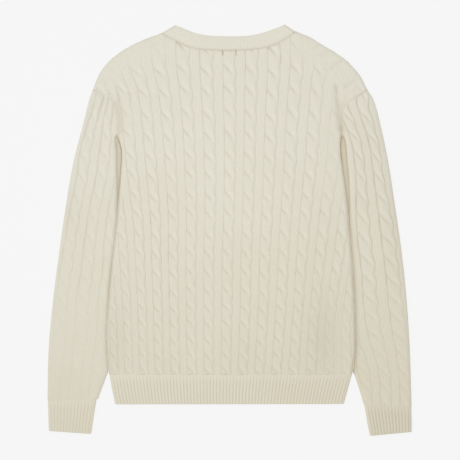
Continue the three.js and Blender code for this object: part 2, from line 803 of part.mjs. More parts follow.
function sleeveT(side, x, y) {
  const rows = SLEEVE_COLUMNS[side];
  return (x - valueAt(rows, "y", "first", y)) / valueAt(rows, "y", "pitch", y);
}

function sleeveColumnX(side, t, y) {
  const rows = SLEEVE_COLUMNS[side];
  return valueAt(rows, "y", "first", y) + t * valueAt(rows, "y", "pitch", y);
}

// The seam with the cuff, just above the cuff's upper edge
function cuffSeamY(side, x) {
  const { left, right } = CUFF_SIDES[side][0];
  return mix(left.y, right.y, (x - left.x) / (right.x - left.x)) + SEAM_GAP;
}

// A point of the armhole seam, moved off the body by the seam's gap
function armholeEnd(side, y) {
  if (y <= PIT_Y) return { x: valueAt(ARMHOLES, "y", side, y) + SIGN[side] * SIDE_GAP, y };
  const high = Math.min(y + LEAN_REACH, TIP_Y);
  const low = y - LEAN_REACH;
  const run = valueAt(ARMHOLES, "y", side, high) - valueAt(ARMHOLES, "y", side, low);
  const length = Math.hypot(run, high - low);
  const x = bodyX(side, y) + (SIGN[side] * SEAM_GAP * (high - low)) / length;
  return { x, y: y - (SIGN[side] * SEAM_GAP * run) / length };
}

function sleeveRows(side) {
  const { left, right } = CUFF_SIDES[side][0];
  const seam = cuffSeamY(side, (left.x + right.x) / 2);
  const rows = steps(FIRST_SIDE_LEVEL, LAST_SLEEVE_LEVEL, CABLE_STEPS)
    .map((level) => ({ level, y: sleeveY(level) }))
    .filter(({ y }) => y > seam + EDGE_RADIUS);
  return [...armholeRows, ...rows, { level: CUFF_LEVEL, y: seam, last: true }];
}

// The places of one sleeve row, from its inner end to its outer end, in steps in from the two edges
function sleevePlaces(side, row, insets, lines) {
  const sign = SIGN[side];
  const places = [];
  const outerLean = leanOf((at) => sleeveOuterX(side, at), row.y);
  const outerEnd = sleeveOuterX(side, row.y);
  insets.outer.forEach((offset, n) => {
    places.push({ x: outerEnd - sign * offset * outerLean, y: row.y, rim: n === 0 ? "outer" : undefined });
  });
  const outerReach = outerEnd - sign * (insets.outer[insets.outer.length - 1] * outerLean + LINE_MARGIN);
  let innerReach;
  if (row.y > PIT_Y + 1e-6) {
    const end = armholeEnd(side, row.y);
    places.push(end);
    innerReach = end.x + sign * LINE_MARGIN;
  } else {
    const end = row.y === PIT_Y ? armholeEnd(side, PIT_Y).x : sleeveInnerX(side, row.y);
    const open = crevice(side, row.y);
    insets.inner(open).forEach((offset, n) => {
      places.push({ x: end + sign * offset, y: row.y, rim: n === 0 ? "inner" : undefined });
    });
    innerReach = end + sign * (insets.inner(open).at(-1) + LINE_MARGIN);
  }
  for (const t of lines) {
    const x = sleeveColumnX(side, t, row.y);
    if (sign * (x - innerReach) > 0 && sign * (outerReach - x) > 0) places.push({ x, y: row.y, t });
  }
  return places
    .map((place) => ({ ...place, u: place.t ?? sleeveT(side, place.x, place.y) }))
    .sort((a, b) => a.x - b.x);
}

const SLEEVE_CABLE_LINES = cableLines(-SLEEVE_COLUMN_REACH, SLEEVE_COLUMN_REACH);

// Steps in from the sleeve's inner edge, over the crevice's shelf and up the turned edge past it
const CLOSED_CREVICE = 0.5;

function creviceSteps(open) {
  const shelf = open > CLOSED_CREVICE ? [CREVICE_LIP, open].filter((step) => step <= open) : [];
  return [0, ...shelf, ...EDGE_STEPS.slice(1).map((step) => open + step)];
}

function onSeam(side, row, x, y) {
  return row.last ? cuffSeamY(side, x) : y;
}

// Distance in from a sleeve's turned edges, and from its two seams
function sleeveEdgeDistance(side, x, y) {
  const { outer, inner, open } = sleeveDistances(side, x, y);
  return Math.min(outer, inner - open);
}

function sleeveSeamDistance(side, x, y) {
  return Math.min(distanceTo(PATHS[side].armhole, x, y), y - cuffSeamY(side, x));
}

function sleeveTopRow(side, row, skin) {
  const insets = { outer: EDGE_STEPS, inner: creviceSteps };
  return sleevePlaces(side, row, insets, SLEEVE_CABLE_LINES).map((place) => {
    const isLine = place.t !== undefined;
    const clear = Math.min(
      sleeveEdgeDistance(side, place.x, place.y),
      sleeveSeamDistance(side, place.x, place.y),
    );
    const level = row.level + (isLine ? slantAt(place.t) * ease(...RELIEF_FADE.slant, clear) : 0);
    const slidY = isLine && !row.last ? sleeveY(level) : place.y;
    const x = isLine ? sleeveColumnX(side, place.t, slidY) : place.x;
    const y = onSeam(side, row, x, slidY);
    const edge = sleeveEdgeDistance(side, x, y);
    const relief = isLine ? cableRise(place.t, level) * reliefFade(edge, sleeveSeamDistance(side, x, y)) : 0;
    const fold = foldRise(x, y) * ease(0, EDGE_RADIUS, edge);
    const z = place.rim ? rimHeight(side, place) : sleeveTop(side, x, y) + relief + fold;
    return { u: place.u, level: row.level, i: skin.point(x, y, z) };
  });
}

function sleeveUnderRow(side, row, skin) {
  const insets = { outer: EDGE_STEPS, inner: () => EDGE_STEPS };
  return sleevePlaces(side, row, insets, SLEEVE_PLAIN_LINES).map((place) => {
    const y = onSeam(side, row, place.x, place.y);
    const z = place.rim ? rimHeight(side, place) : sleeveUnder(side, place.x, y);
    return { u: place.u, level: row.level, i: skin.point(place.x, y, z) };
  });
}

function sleeveSlitRow(side, row, skin, roof) {
  const insets = { outer: IN_STEPS, inner: (open) => IN_STEPS.map((step) => open + step) };
  return sleevePlaces(side, row, insets, SLEEVE_PLAIN_LINES).map((place) => {
    const y = onSeam(side, row, place.x, place.y);
    const z = place.rim ? MIDDLE : sleeveSlit(side, place.x, y, roof);
    return { u: place.u, level: row.level, i: skin.point(place.x, y, z) };
  });
}

// Joins the two rims of a tube wall's open end, on its upper or its lower half
function closeEnd(skin, outer, inner, roof) {
  if (roof) skin.zip(outer, inner);
  else skin.zip(inner, outer);
}

// Where the tube's inside starts below its tip, as a part of the first row
const INSIDE_START = 0.3;

function sleeve(side) {
  const skin = new Skin();
  const rows = sleeveRows(side);
  const tip = armholeEnd(side, TIP_Y);
  const next = armholeEnd(side, rows[1].y);
  const inTip = { x: mix(tip.x, next.x, INSIDE_START), y: mix(tip.y, next.y, INSIDE_START) };
  const point = ({ x, y }) => [{ u: sleeveT(side, x, y), level: rows[0].level, i: skin.point(x, y, MIDDLE) }];
  const fineRows = rows.slice(1);
  const coarseRows = fineRows.filter((row) => row.y >= PIT_Y || isWhole(row.level) || row.last);
  const top = [point(tip), ...fineRows.map((row) => sleeveTopRow(side, row, skin))];
  const under = [point(tip), ...fineRows.map((row) => sleeveUnderRow(side, row, skin))];
  const roof = [point(inTip), ...coarseRows.map((row) => sleeveSlitRow(side, row, skin, true))];
  const floor = [point(inTip), ...coarseRows.map((row) => sleeveSlitRow(side, row, skin, false))];
  skin.sheet(top, false);
  skin.sheet(under, true);
  skin.sheet(roof, true);
  skin.sheet(floor, false);
  const open = armholeRows.length;
  const armholeSide = side === "left" ? "right" : "left";
  const ends = (stack) => endsOf(stack.slice(0, open), armholeSide);
  closeEnd(skin, ends(side === "left" ? roof : top), ends(side === "left" ? top : roof), true);
  closeEnd(skin, ends(side === "left" ? floor : under), ends(side === "left" ? under : floor), false);
  closeEnd(skin, top.at(-1), roof.at(-1), true);
  closeEnd(skin, under.at(-1), floor.at(-1), false);
  return skin.mesh(`sleeve_${side}`, FABRIC_COLOUR);
}

// A ribbed tube laid flat: the hem band or a cuff
function sidePoint(sides, end, part) {
  const table = sides.map((row) => ({ part: row.part, x: row[end].x, y: row[end].y }));
  return { x: valueAt(table, "part", "x", part), y: valueAt(table, "part", "y", part) };
}

function bandPlaces(sides, part, insets, fractions) {
  const a = sidePoint(sides, "left", part);
  const b = sidePoint(sides, "right", part);
  const width = b.x - a.x;
  const from = insets.at(-1) / width;
  const spread = fractions.map((f) => mix(from, 1 - from, f));
  const edges = insets.map((inset) => inset / width);
  return [...edges.slice(0, -1), ...spread, ...edges.slice(0, -1).map((f) => 1 - f).reverse()].map((f) => ({
    f,
    x: mix(a.x, b.x, f),
    y: mix(a.y, b.y, f),
    edge: Math.min(f, 1 - f) * width,
  }));
}

const BAND_PARTS = [0, 0.5, 1];
const BAND_EDGE_STEPS = [0, 1, 3, 5];
const BAND_IN_STEPS = [WALL, 6];
const RIBS_PER_PLAIN_STEP = 5;
const FEWEST_PLAIN_STEPS = 4;

function ribbedBand(name, sides, ribs, height) {
  const skin = new Skin();
  const middle = Math.min(MIDDLE, height / 2);
  const ribLines = steps(0, 1, 2 * ribs);
  const plainLines = steps(0, 1, Math.max(FEWEST_PLAIN_STEPS, Math.round(ribs / RIBS_PER_PLAIN_STEP)));
  const rowOf = (part, insets, lines, heightAt) =>
    bandPlaces(sides, part, insets, lines).map((place) => ({
      u: place.f,
      level: part,
      i: skin.point(place.x, place.y, heightAt(place)),
    }));
  const topRow = (part) => {
    const places = bandPlaces(sides, part, BAND_EDGE_STEPS, ribLines);
    const start = BAND_EDGE_STEPS.length - 1;
    return places.map((place, n) => {
      const onRib = n >= start && n < places.length - start && (n - start) % 2 === 1;
      const z = middle + (height - middle) * rounded(place.edge, EDGE_RADIUS) + (onRib ? RIB_RISE : 0);
      return { u: place.f, level: part, i: skin.point(place.x, place.y, z) };
    });
  };
  const top = BAND_PARTS.map(topRow);
  const under = BAND_PARTS.map((part) =>
    rowOf(part, BAND_EDGE_STEPS, plainLines, ({ edge }) => middle * (1 - rounded(edge, EDGE_RADIUS))),
  );
  const slit = (roof) =>
    BAND_PARTS.map((part) =>
      rowOf(part, BAND_IN_STEPS, plainLines, ({ edge }) => {
        const lift = rounded(edge - WALL, EDGE_RADIUS - WALL);
        return middle + ((roof ? height - WALL : WALL) - middle) * lift;
      }),
    );
  const roof = slit(true);
  const floor = slit(false);
  skin.sheet(top, false);
  skin.sheet(under, true);
  skin.sheet(roof, true);
  skin.sheet(floor, false);
  closeEnd(skin, roof[0], top[0], true);
  closeEnd(skin, floor[0], under[0], false);
  closeEnd(skin, top.at(-1), roof.at(-1), true);
  closeEnd(skin, under.at(-1), floor.at(-1), false);
  return skin.mesh(name, RIB_COLOUR);
}

// Parts of the neckband's loop: the back half, the fold on the right, the front half, the fold on the left
const BACK_SHARE = 0.44;
const FOLD_SHARE = 0.06;
const SEAM_CLEARANCE = 0.45;

// The neckband's section at each place round its loop: its edge at the neck hole and its edge at the seam
function bandSections(stops, radiusAt) {
  const sections = [];
  const push = (share, upper, lower, angle, out, radius) => {
    const length = Math.hypot(upper.x - lower.x, upper.y - lower.y);
    const seam = {
      x: lower.x + ((upper.x - lower.x) * SEAM_CLEARANCE) / length,
      y: lower.y + ((upper.y - lower.y) * SEAM_CLEARANCE) / length,
    };
    const lifted = (at) => [
      at.x + out.x * radius * Math.cos(angle),
      at.y + out.y * radius * Math.cos(angle),
      MIDDLE + radius * Math.sin(angle),
    ];
    sections.push({ share, upper: lifted(upper), lower: lifted(seam) });
  };
  const fold = (side, n, start) => {
    const angle = Math.PI * (side === "right" ? 0.5 - n / FOLD_STEPS : -0.5 + n / FOLD_STEPS);
    const { upper, lower, out } = BAND_FOLDS[side];
    push(start + (FOLD_SHARE * n) / FOLD_STEPS, upper, lower, angle, out, radiusAt(0));
  };
  const flat = { x: 0, y: 0 };
  stops.forEach((s, n) => {
    const upper = { x: mix(BAND_FOLDS.left.upper.x, BAND_FOLDS.right.upper.x, s) };
    upper.y = valueAt(BAND_TOP, "x", "y", upper.x);
    const lower = { x: mix(BAND_FOLDS.left.lower.x, BAND_FOLDS.right.lower.x, s) };
    lower.y = neckAt(backStops, lower.x);
    const inside = n > 0 && n < stops.length - 1;
    push(BACK_SHARE * s, upper, lower, Math.PI / 2, flat, radiusAt(inside ? n : 0));
  });
  for (let n = 1; n < FOLD_STEPS; n += 1) fold("right", n, BACK_SHARE);
  for (let n = 0; n <= FRONT_STEPS; n += 1) {
    const part = 1 - n / FRONT_STEPS;
    const upper = frontEdge(part, "upper", FRONT_UPPER_DROP);
    const lower = frontEdge(part, "lower", FRONT_LOWER_DROP);
    const share = BACK_SHARE + FOLD_SHARE + (BACK_SHARE * n) / FRONT_STEPS;
    push(share, upper, lower, -Math.PI / 2, flat, radiusAt(0));
  }
  for (let n = 1; n < FOLD_STEPS; n += 1) fold("left", n, 2 * BACK_SHARE + FOLD_SHARE);
  return sections;
}

function neckband() {
  const skin = new Skin();
  const loop = (sections, edge) => {
    const points = sections.map((section) => ({ u: section.share, i: skin.point(...section[edge]) }));
    return [...points, { u: 1, i: points[0].i }];
  };
  const width = BAND_FOLDS.right.lower.x - BAND_FOLDS.left.lower.x;
  const outer = bandSections(steps(0, 1, 2 * NECK_RIBS), (n) => MIDDLE + (n % 2 === 1 ? NECK_RIB_RISE : 0));
  const inner = bandSections(
    backStops.map(({ x }) => (x - BAND_FOLDS.left.lower.x) / width),
    () => MIDDLE - WALL,
  );
  const [outUpper, outLower] = [loop(outer, "upper"), loop(outer, "lower")];
  const [inUpper, inLower] = [loop(inner, "upper"), loop(inner, "lower")];
  skin.zip(outUpper, outLower);
  skin.zip(inLower, inUpper);
  skin.zip(inUpper, outUpper);
  skin.zip(outLower, inLower);
  return skin.mesh("neckband", RIB_COLOUR);
}

const sweater = new THREE.Group();
sweater.add(
  backPanel(),
  frontPanel(),
  sleeve("left"),
  sleeve("right"),
  ribbedBand("cuff_left", CUFF_SIDES.left, CUFF_RIBS, CUFF_HEIGHT),
  ribbedBand("cuff_right", CUFF_SIDES.right, CUFF_RIBS, CUFF_HEIGHT),
  ribbedBand("hem_band", HEM_SIDES, HEM_RIBS, HEM_HEIGHT),
  neckband(),
);

// The origin is at the middle of the underside
const reach = new THREE.Box3().setFromObject(sweater);
sweater.position.set(-(reach.min.x + reach.max.x) / 2, -(reach.min.y + reach.max.y) / 2, -reach.min.z);

export default sweater;
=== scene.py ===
import math

import bpy
import mathutils
import numpy as np
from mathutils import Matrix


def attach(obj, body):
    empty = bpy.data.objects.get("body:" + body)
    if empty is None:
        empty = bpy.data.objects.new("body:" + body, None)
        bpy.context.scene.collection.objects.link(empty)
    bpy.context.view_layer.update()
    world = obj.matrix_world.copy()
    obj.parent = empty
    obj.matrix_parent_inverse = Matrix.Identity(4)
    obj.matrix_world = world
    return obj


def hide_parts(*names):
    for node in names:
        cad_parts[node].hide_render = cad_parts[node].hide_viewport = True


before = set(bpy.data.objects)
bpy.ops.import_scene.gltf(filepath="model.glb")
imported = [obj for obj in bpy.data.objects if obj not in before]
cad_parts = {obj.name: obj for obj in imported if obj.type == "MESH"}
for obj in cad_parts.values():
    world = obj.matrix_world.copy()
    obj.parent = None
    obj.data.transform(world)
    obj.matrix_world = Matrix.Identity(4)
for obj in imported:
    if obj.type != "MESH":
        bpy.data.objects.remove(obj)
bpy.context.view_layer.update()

MM = 0.001

# How far the tables' middle lies from the middle of the solids
SHIFT_X = -0.229
SHIFT_Y = 0.221

# Walls and heights, as in the solids
WALL = 3
BODY_HEIGHT = 8.4
SLEEVE_HEIGHT = 9.4
HEM_HEIGHT = 8.6
CUFF_HEIGHT = 9
EDGE_RADIUS = 7
SEAM_GAP = 0.3
SIDE_GAP = 0.5
SEWN_GAP = 0.04
MIDDLE = BODY_HEIGHT / 2
BACK_CLOSED = MIDDLE + SEAM_GAP / 2
FRONT_CLOSED = MIDDLE - SEAM_GAP / 2
NECK_Y = 358.2
TIP_Y = 253
PIT_Y = 168
HEM_Y = -260.26
CUFF_Y = -318
LEFT, RIGHT = "left", "right"
SIGN = {LEFT: -1, RIGHT: 1}


def table(columns, *rows):
    return {name: np.array([row[n] for row in rows], float) for n, name in enumerate(columns.split())}


def crossings(first, *heights):
    return {"row": first + np.arange(len(heights), dtype=float), "y": np.array(heights, float)}


SHOULDERS = table(
    "y left right",
    (358.2, -123.3, 119.7), (354.6, -123.4, 128),
    (347.4, -143.1, 144.9), (340.2, -161.1, 156.9),
    (331.2, -179.1, 171.9), (320.4, -197.1, 189.9),
    (306, -215.1, 210.2), (291.6, -227.7, 224.4),
    (277.2, -236.7, 236), (253, -246.5, 248.5),
)
ARMHOLES = table(
    "y left right",
    (253, -246.5, 248.5), (246, -231, 239),
    (239, -216, 226.5), (232, -207, 214.5),
    (225, -204, 208.5), (211, -201.8, 202.8),
    (190, -200.7, 201), (168, -200.7, 200.7),
)
SIDES = table(
    "y left right",
    (168, -200.7, 200.7), (144, -194.2, 199.8),
    (108, -195.3, 203.8), (54, -199.4, 211.2),
    (0, -204.3, 215.8), (-54, -210.6, 220.2),
    (-108, -216, 224), (-180, -221.2, 226),
    (-216, -220.5, 226), (-260, -217, 221.2),
)
SLEEVE_FOLDS = table(
    "y left right",
    (253, -246.5, 248.5), (234, -253, 260),
    (191, -264, 272), (119, -282, 287),
    (47, -294.5, 298), (-40, -307, 310.5),
    (-126, -318, 319.5), (-212, -326, 325),
    (-320, -328.3, 328.5),
)
SLEEVE_ENDS = table(
    "y left right",
    (-240, -219.4, 224.6), (-252, -218.3, 222.8),
    (-256, -218.9, 222.4), (-260, -220.6, 224.6),
    (-275, -225.9, 229.8), (-294, -233.1, 236),
    (-320, -241, 243.4),
)
CREVICES = table(
    "y left right",
    (176, 0, 0), (162, 5.5, 7),
    (144, 9, 10), (117, 8, 9.5),
    (90, 5.5, 8), (54, 2, 4.5),
    (20, 0, 1.5), (-20, 0, 0),
)
NECKLINE = table(
    "x y",
    (-123.3, 354.6), (-98.1, 342),
    (-71.1, 329.6), (-35.1, 324.8),
    (0.9, 324), (36.9, 325.6),
    (72.9, 331.2), (99.9, 343.8),
    (119.7, 358.2),
)
BAND_TOP = table(
    "x y",
    (-98.1, 369), (-80.1, 361.8),
    (-62.1, 354.8), (-44.1, 351),
    (-26.1, 349.2), (0.9, 348.7),
    (27.9, 349.3), (45.9, 351.8),
    (63.9, 356.4), (81.9, 362.7),
    (99.9, 369.9),
)
BAND_FOLDS = {
    LEFT: {"upper": (-94.2, 367.4), "lower": (-119.5, 352.7), "out": (-0.91, 0.41)},
    RIGHT: {"upper": (96.0, 368.3), "lower": (115.7, 355.4), "out": (0.87, 0.49)},
}

# How far the front of the neck hangs below the band's folds, a guess
FRONT_UPPER_DROP = 84
FRONT_LOWER_DROP = 95

# Heights at which the strands cross
TWISTS = crossings(
    -1,
    372, 331, 290, 253, 211, 173, 135, 101, 63, 31,
    -7, -40, -74, -108, -139, -167, -197, -225, -252, -279,
)
SLEEVE_TWISTS = crossings(
    2,
    253, 211, 173, 138, 102, 65, 26, -11, -50,
    -86, -120, -153, -186, -219, -252, -281, -310, -339,
)

# Cable columns: the middle one, the pitch to each side and how much it grows outward
BODY_COLUMNS = table(
    "y middle left left_bend right right_bend",
    (331, 0.2, 41.8, 0.2, 39.6, 0.3),
    (297, 0.3, 41.2, 0.3, 39.3, 0.4),
    (261, 0.5, 40.6, -0.3, 38.7, 0.2),
    (225, 1.2, 39.8, -0.45, 36.9, 0.4),
    (189, 1.6, 38.3, -0.3, 35.6, 0.5),
    (153, 1.6, 37.1, -0.2, 35, 0.5),
    (117, 1.4, 36, -0.12, 34.4, 0.5),
    (81, 0.7, 35, -0.12, 34, 0.4),
    (45, 0.1, 34.4, -0.18, 33.9, 0.22),
    (9, -1.1, 34, -0.3, 33.8, 0.1),
    (-27, -2.4, 34.2, -0.45, 33.7, 0),
    (-63, -3.5, 33.9, -0.5, 33.8, -0.13),
    (-99, -3.9, 33.5, -0.5, 33.8, -0.27),
    (-135, -4.2, 33.3, -0.54, 33.5, -0.32),
    (-171, -4.8, 32.9, -0.53, 32.8, -0.3),
    (-207, -5.1, 32.5, -0.5, 31.4, -0.08),
    (-243, -5.6, 31.8, -0.42, 30, 0.16),
    (-261, -5.8, 31.4, -0.38, 29.5, 0.22),
)
SLEEVE_COLUMNS = {
    LEFT: table(
        "y first pitch",
        (234, -212, 22), (199, -219, 26),
        (145, -223.7, 34.6), (91, -231.1, 34.5),
        (37, -242.3, 34.5), (-17, -250.2, 35.5),
        (-71, -255.6, 38.2), (-125, -263.5, 38.4),
        (-179, -266, 39.4), (-233, -272, 37.8),
        (-287, -279, 36),
    ),
    RIGHT: table(
        "y first pitch",
        (226, 203, 37), (172, 224.5, 31.6),
        (145, 231.3, 31.3), (91, 237.2, 32.1),
        (37, 239.4, 39.2), (-17, 243, 43.2),
        (-71, 250, 43), (-125, 253.8, 44.8),
        (-179, 260.5, 44.8), (-206, 267.5, 42.5),
        (-233, 274.5, 38.7), (-260, 279.5, 36.2),
        (-290, 282, 35),
    ),
}

# Sides of the ribbed bands, from the seam (part 0) to the free edge (part 1)
HEM_SIDES = {
    LEFT: table("part x y", (0, -216.6, -260.3), (0.5, -211.8, -287), (1, -206.2, -314)),
    RIGHT: table("part x y", (0, 220.8, -260.3), (0.5, 213.4, -287), (1, 206.2, -313.4)),
}
CUFF_SIDES = {
    LEFT: {
        LEFT: table("part x y", (0, -327.6, -306.4), (0.5, -326.8, -334), (1, -325.8, -361.8)),
        RIGHT: table("part x y", (0, -239.6, -304.8), (0.5, -244.6, -336), (1, -249.3, -367.2)),
    },
    RIGHT: {
        LEFT: table("part x y", (0, 243.2, -315.6), (0.5, 247.6, -343), (1, 252.9, -370.8)),
        RIGHT: table("part x y", (0, 327.8, -318.2), (0.5, 328.4, -341), (1, 328.5, -363.6)),
    },
}

# Cables: two strands that cross once a row, over one side of the cable and under the other
CABLE_RISE = 1.7
CABLE_HALF = 0.28
CABLE_SHIFT = 0.006
CABLE_SWELL = {LEFT: 0.008, RIGHT: 0.03}
CABLE_ROUNDNESS = 0.5
SWELL_LEVEL = 0.3
CROSSING = {"level": 0.165, "above": 0.27, "below": 0.08, "depth": 0.8}
CROSSING_REACH = (0.0, 1.0)
STROKE = {"width": 0.065, "reach": (-0.35, 0.5), "shade": 0.34}
CHANNEL_DEPTH = 0.6
CHANNEL_SHADE = {LEFT: 0.36, RIGHT: 0.14}
CHANNEL_UNEVEN = 0.35
# Painted shade over all the plain knit, and the painted highlight that takes some of it off above
# each crossing
PLAIN_SHADE = 0.12
CREST_HIGHLIGHT = {"level": -0.25, "width": 0.13, "place": 0.3, "reach": 0.5}
STITCHES_A_PITCH = 10
STITCH_ROWS_A_TWIST = 13

# Ribs
HEM_RIBS = 72
CUFF_RIBS = 14
NECK_RIBS = 40

# Creases: x1 y1 x2 y2, half width and rise, negative for a trough
CREASES = table(
    "x1 y1 x2 y2 width rise",
    (192, 260, 192.8, 236, 3.2, -1.5),
    (192.8, 236, 196.5, 212, 3.8, -1.8),
    (196.5, 224, 200, 182, 6, -1.6),
    (-11.7, 326, -11.7, 316, 1.5, -1.5),
    (11.7, 326, 11.7, 316, 1.5, -1.6),
    (93, 313, 92.6, 302, 1.5, -1),
    (208, 257, 225, 270, 2.2, -0.8),
    (183, 293, 201, 306, 2.2, -0.7),
    (176, 287, 186, 290, 2, -0.4),
    (164, 314, 176, 323, 2, -0.5),
    (151, 326, 164, 337, 2, -0.5),
    (227, 275, 228, 285, 2, -0.4),
    (-202, 230, -196.5, 205, 7.5, -1),
    (-196.5, 205, -196, 180, 6, -1.1),
    (-150, 339, -138, 343, 2, -0.4),
    (-146, 330, -128, 336, 2, -0.3),
    (-226.5, 238, -230.5, 224, 2.2, -0.9),
    (-230.5, 224, -238, 198, 2.2, -0.8),
    (-211, 213, -213.5, 192, 2.2, -0.7),
    (-244.5, 229, -252, 216, 2.2, -0.7),
    (-252, 216, -257, 192, 2.2, -0.6),
    (-262, 150, -290, -20, 14, 0.7),
    (258, 190, 282, 20, 14, 0.7),
)

# Shade for each millimetre that a trough goes down
CREASE_SHADE = 0.28


def curve(rows, key, column):
    """A smooth curve through a table's column, flat beyond its ends."""
    order = np.argsort(rows[key])
    at, value = rows[key][order], rows[column][order]
    before = np.maximum(np.arange(len(at)) - 1, 0)
    after = np.minimum(np.arange(len(at)) + 1, len(at) - 1)
    slope = (value[after] - value[before]) / (at[after] - at[before])

    def of(x):
        x = np.clip(x, at[0], at[-1])
        i = np.clip(np.searchsorted(at, x, side="right") - 1, 0, len(at) - 2)
        span = at[i + 1] - at[i]
        s = (x - at[i]) / span
        rise = s * s * (3 - 2 * s)
        start = s * (1 - s) ** 2 * span * slope[i]
        end = s * s * (s - 1) * span * slope[i + 1]
        return value[i] * (1 - rise) + value[i + 1] * rise + start + end

    return of


def sides(rows):
    return {side: curve(rows, "y", side) for side in (LEFT, RIGHT)}


shoulder_x, armhole_x, side_x = sides(SHOULDERS), sides(ARMHOLES), sides(SIDES)
fold_x, end_x, crevice_of = sides(SLEEVE_FOLDS), sides(SLEEVE_ENDS), sides(CREVICES)
neck_y = curve(NECKLINE, "x", "y")
band_top_y = curve(BAND_TOP, "x", "y")
body_level = curve(TWISTS, "y", "row")
sleeve_level = curve(SLEEVE_TWISTS, "y", "row")
body_middle = curve(BODY_COLUMNS, "y", "middle")
body_pitches = sides(BODY_COLUMNS)
body_bends = {side: curve(BODY_COLUMNS, "y", f"{side}_bend") for side in SIGN}


def mix(a, b, s):
    return a + (b - a) * s


def ease(low, high, v):
    """A smooth step from 0 at low to 1 at high, which may be the smaller one."""
    s = np.clip((v - low) / (high - low), 0, 1)
    return s * s * (3 - 2 * s)


def rounded(distance, radius):
    s = 1 - np.clip(distance / radius, 0, 1)
    return np.sqrt(1 - s * s)


def bell(v, width):
    return np.exp(-((v / width) ** 2))


def line_distance(x, y, x1, y1, x2, y2):
    dx, dy = x2 - x1, y2 - y1
    s = np.clip(((x - x1) * dx + (y - y1) * dy) / (dx * dx + dy * dy), 0, 1)
    return np.hypot(x - x1 - s * dx, y - y1 - s * dy)


def path_distance(path, x, y):
    nearest = np.full(np.shape(x), np.inf)
    for (x1, y1), (x2, y2) in zip(path[:-1], path[1:]):
        nearest = np.minimum(nearest, line_distance(x, y, x1, y1, x2, y2))
    return nearest


def path_of(x_at, start, stop, step=6):
    y = np.linspace(start, stop, int(abs(start - stop) / step) + 2)
    return list(zip(x_at(y), y))


def body_x(side, y):
    return np.where(
        y >= TIP_Y,
        shoulder_x[side](y),
        np.where(y >= PIT_Y, armhole_x[side](y), side_x[side](y)),
    )


def sleeve_inner_x(side, y):
    return np.where(
        y >= PIT_Y,
        armhole_x[side](y),
        np.where(y >= SLEEVE_ENDS["y"][0], side_x[side](y) + SIGN[side] * SIDE_GAP, end_x[side](y)),
    )


SHOULDER_PATH = {s: path_of(shoulder_x[s], NECK_Y, TIP_Y) for s in SIGN}
FOLD_PATH = {s: path_of(fold_x[s], TIP_Y, CUFF_Y) for s in SIGN}
ARMHOLE_PATH = {s: path_of(armhole_x[s], TIP_Y, PIT_Y, 2) for s in SIGN}
SIDE_PATH = {s: path_of(side_x[s], PIT_Y, HEM_Y) for s in SIGN}
INNER_PATH = {s: path_of(lambda y, s=s: sleeve_inner_x(s, y - 1e-6), PIT_Y, CUFF_Y) for s in SIGN}


def by_side(paths, x, y):
    return np.where(x < 0, path_distance(paths[LEFT], x, y), path_distance(paths[RIGHT], x, y))


def creased(x, y):
    """Rise of the creases, and the shade that lies in their troughs."""
    ridge, trough = np.zeros(np.shape(x)), np.zeros(np.shape(x))
    for x1, y1, x2, y2, width, height in zip(*CREASES.values()):
        rise = height * bell(line_distance(x, y, x1, y1, x2, y2), width)
        ridge, trough = np.maximum(ridge, rise), np.minimum(trough, rise)
    return ridge + trough, -trough * CREASE_SHADE


def waves(x, y, size, seed):
    """Uneven soft swells, from -1 to 1, that repeat nowhere on the garment."""
    total = np.zeros(np.shape(x))
    for n in range(5):
        turn = 2.4 * n + seed
        reach = size * (1 + 0.37 * n)
        along = (x * math.cos(turn) + y * math.sin(turn)) / reach
        total += np.sin(2 * math.pi * along + 1.7 * turn + 1.3 * np.sin(along * 2.1 + turn))
    return total / 5


def column_shift(column, seed):
    """Each cable crosses a little above or below its neighbours."""
    return 0.09 * np.sin(column * 2.399 + seed) + 0.05 * np.sin(column * 5.1 + 2 * seed)


def cable(t, level, pitch, seed, longer=0, strokes=1, channels=1, channel_width=1.1, slant=0.285):
    """Rise and shade of the knit, at t pitches across and level crossings along.

    A longer crossing runs further over the cable, slant is how far it climbs, and strokes
    and channels scale the shade of the crossings and of the cable's sides.
    """
    column = np.round(t)
    p = t - column + CABLE_SHIFT
    level = level + column_shift(column, seed)
    swell = np.where(p < 0, CABLE_SWELL[LEFT], CABLE_SWELL[RIGHT])
    half = CABLE_HALF + swell * np.cos(2 * np.pi * (level - SWELL_LEVEL))
    q = np.clip(p / half, -1, 1)
    dome = (1 - q * q) ** CABLE_ROUNDNESS
    phase = level - CROSSING["level"] - slant * q
    f = phase - np.round(phase)
    dip = np.where(f < 0, bell(f, CROSSING["above"]), bell(f, CROSSING["below"]))
    dip = dip * (1 - ease(*CROSSING_REACH, q - longer))
    channel = bell((np.abs(p) - half) * pitch, channel_width)
    rise = CABLE_RISE * dome * (1 - CROSSING["depth"] * dip) - CHANNEL_DEPTH * channel
    stroke = bell(f, STROKE["width"]) * (1 - ease(*STROKE["reach"], q - longer)) * (np.abs(q) < 1)
    side_shade = np.where(p < 0, CHANNEL_SHADE[LEFT], CHANNEL_SHADE[RIGHT])
    wave = np.sin(1.9 * level + 2.1 * column + seed)
    uneven = 1 + CHANNEL_UNEVEN * wave * np.cos(4.7 * level - 1.3 * column)
    # Painted highlight above each crossing, and painted shade along the crossings and down the
    # cable's sides
    crest = bell(f - CREST_HIGHLIGHT["level"], CREST_HIGHLIGHT["width"]) * bell(q - CREST_HIGHLIGHT["place"], CREST_HIGHLIGHT["reach"])
    crossed = strokes * STROKE["shade"] * stroke
    shade = channels * side_shade * channel * uneven + crossed - PLAIN_SHADE * crest
    return rise, shade


def weave(t, level):
    """Stitch columns and rows at a place, for the material."""
    return t * STITCHES_A_PITCH, level * STITCH_ROWS_A_TWIST


def placed(name, data):
    made = bpy.data.objects.new(name, data)
    bpy.context.scene.collection.objects.link(made)
    return made


# Points are one if they agree to this part of a millimetre, and sharper edges stay sharp
WELD_PARTS = 500
SHARP_ANGLE = math.radians(60)


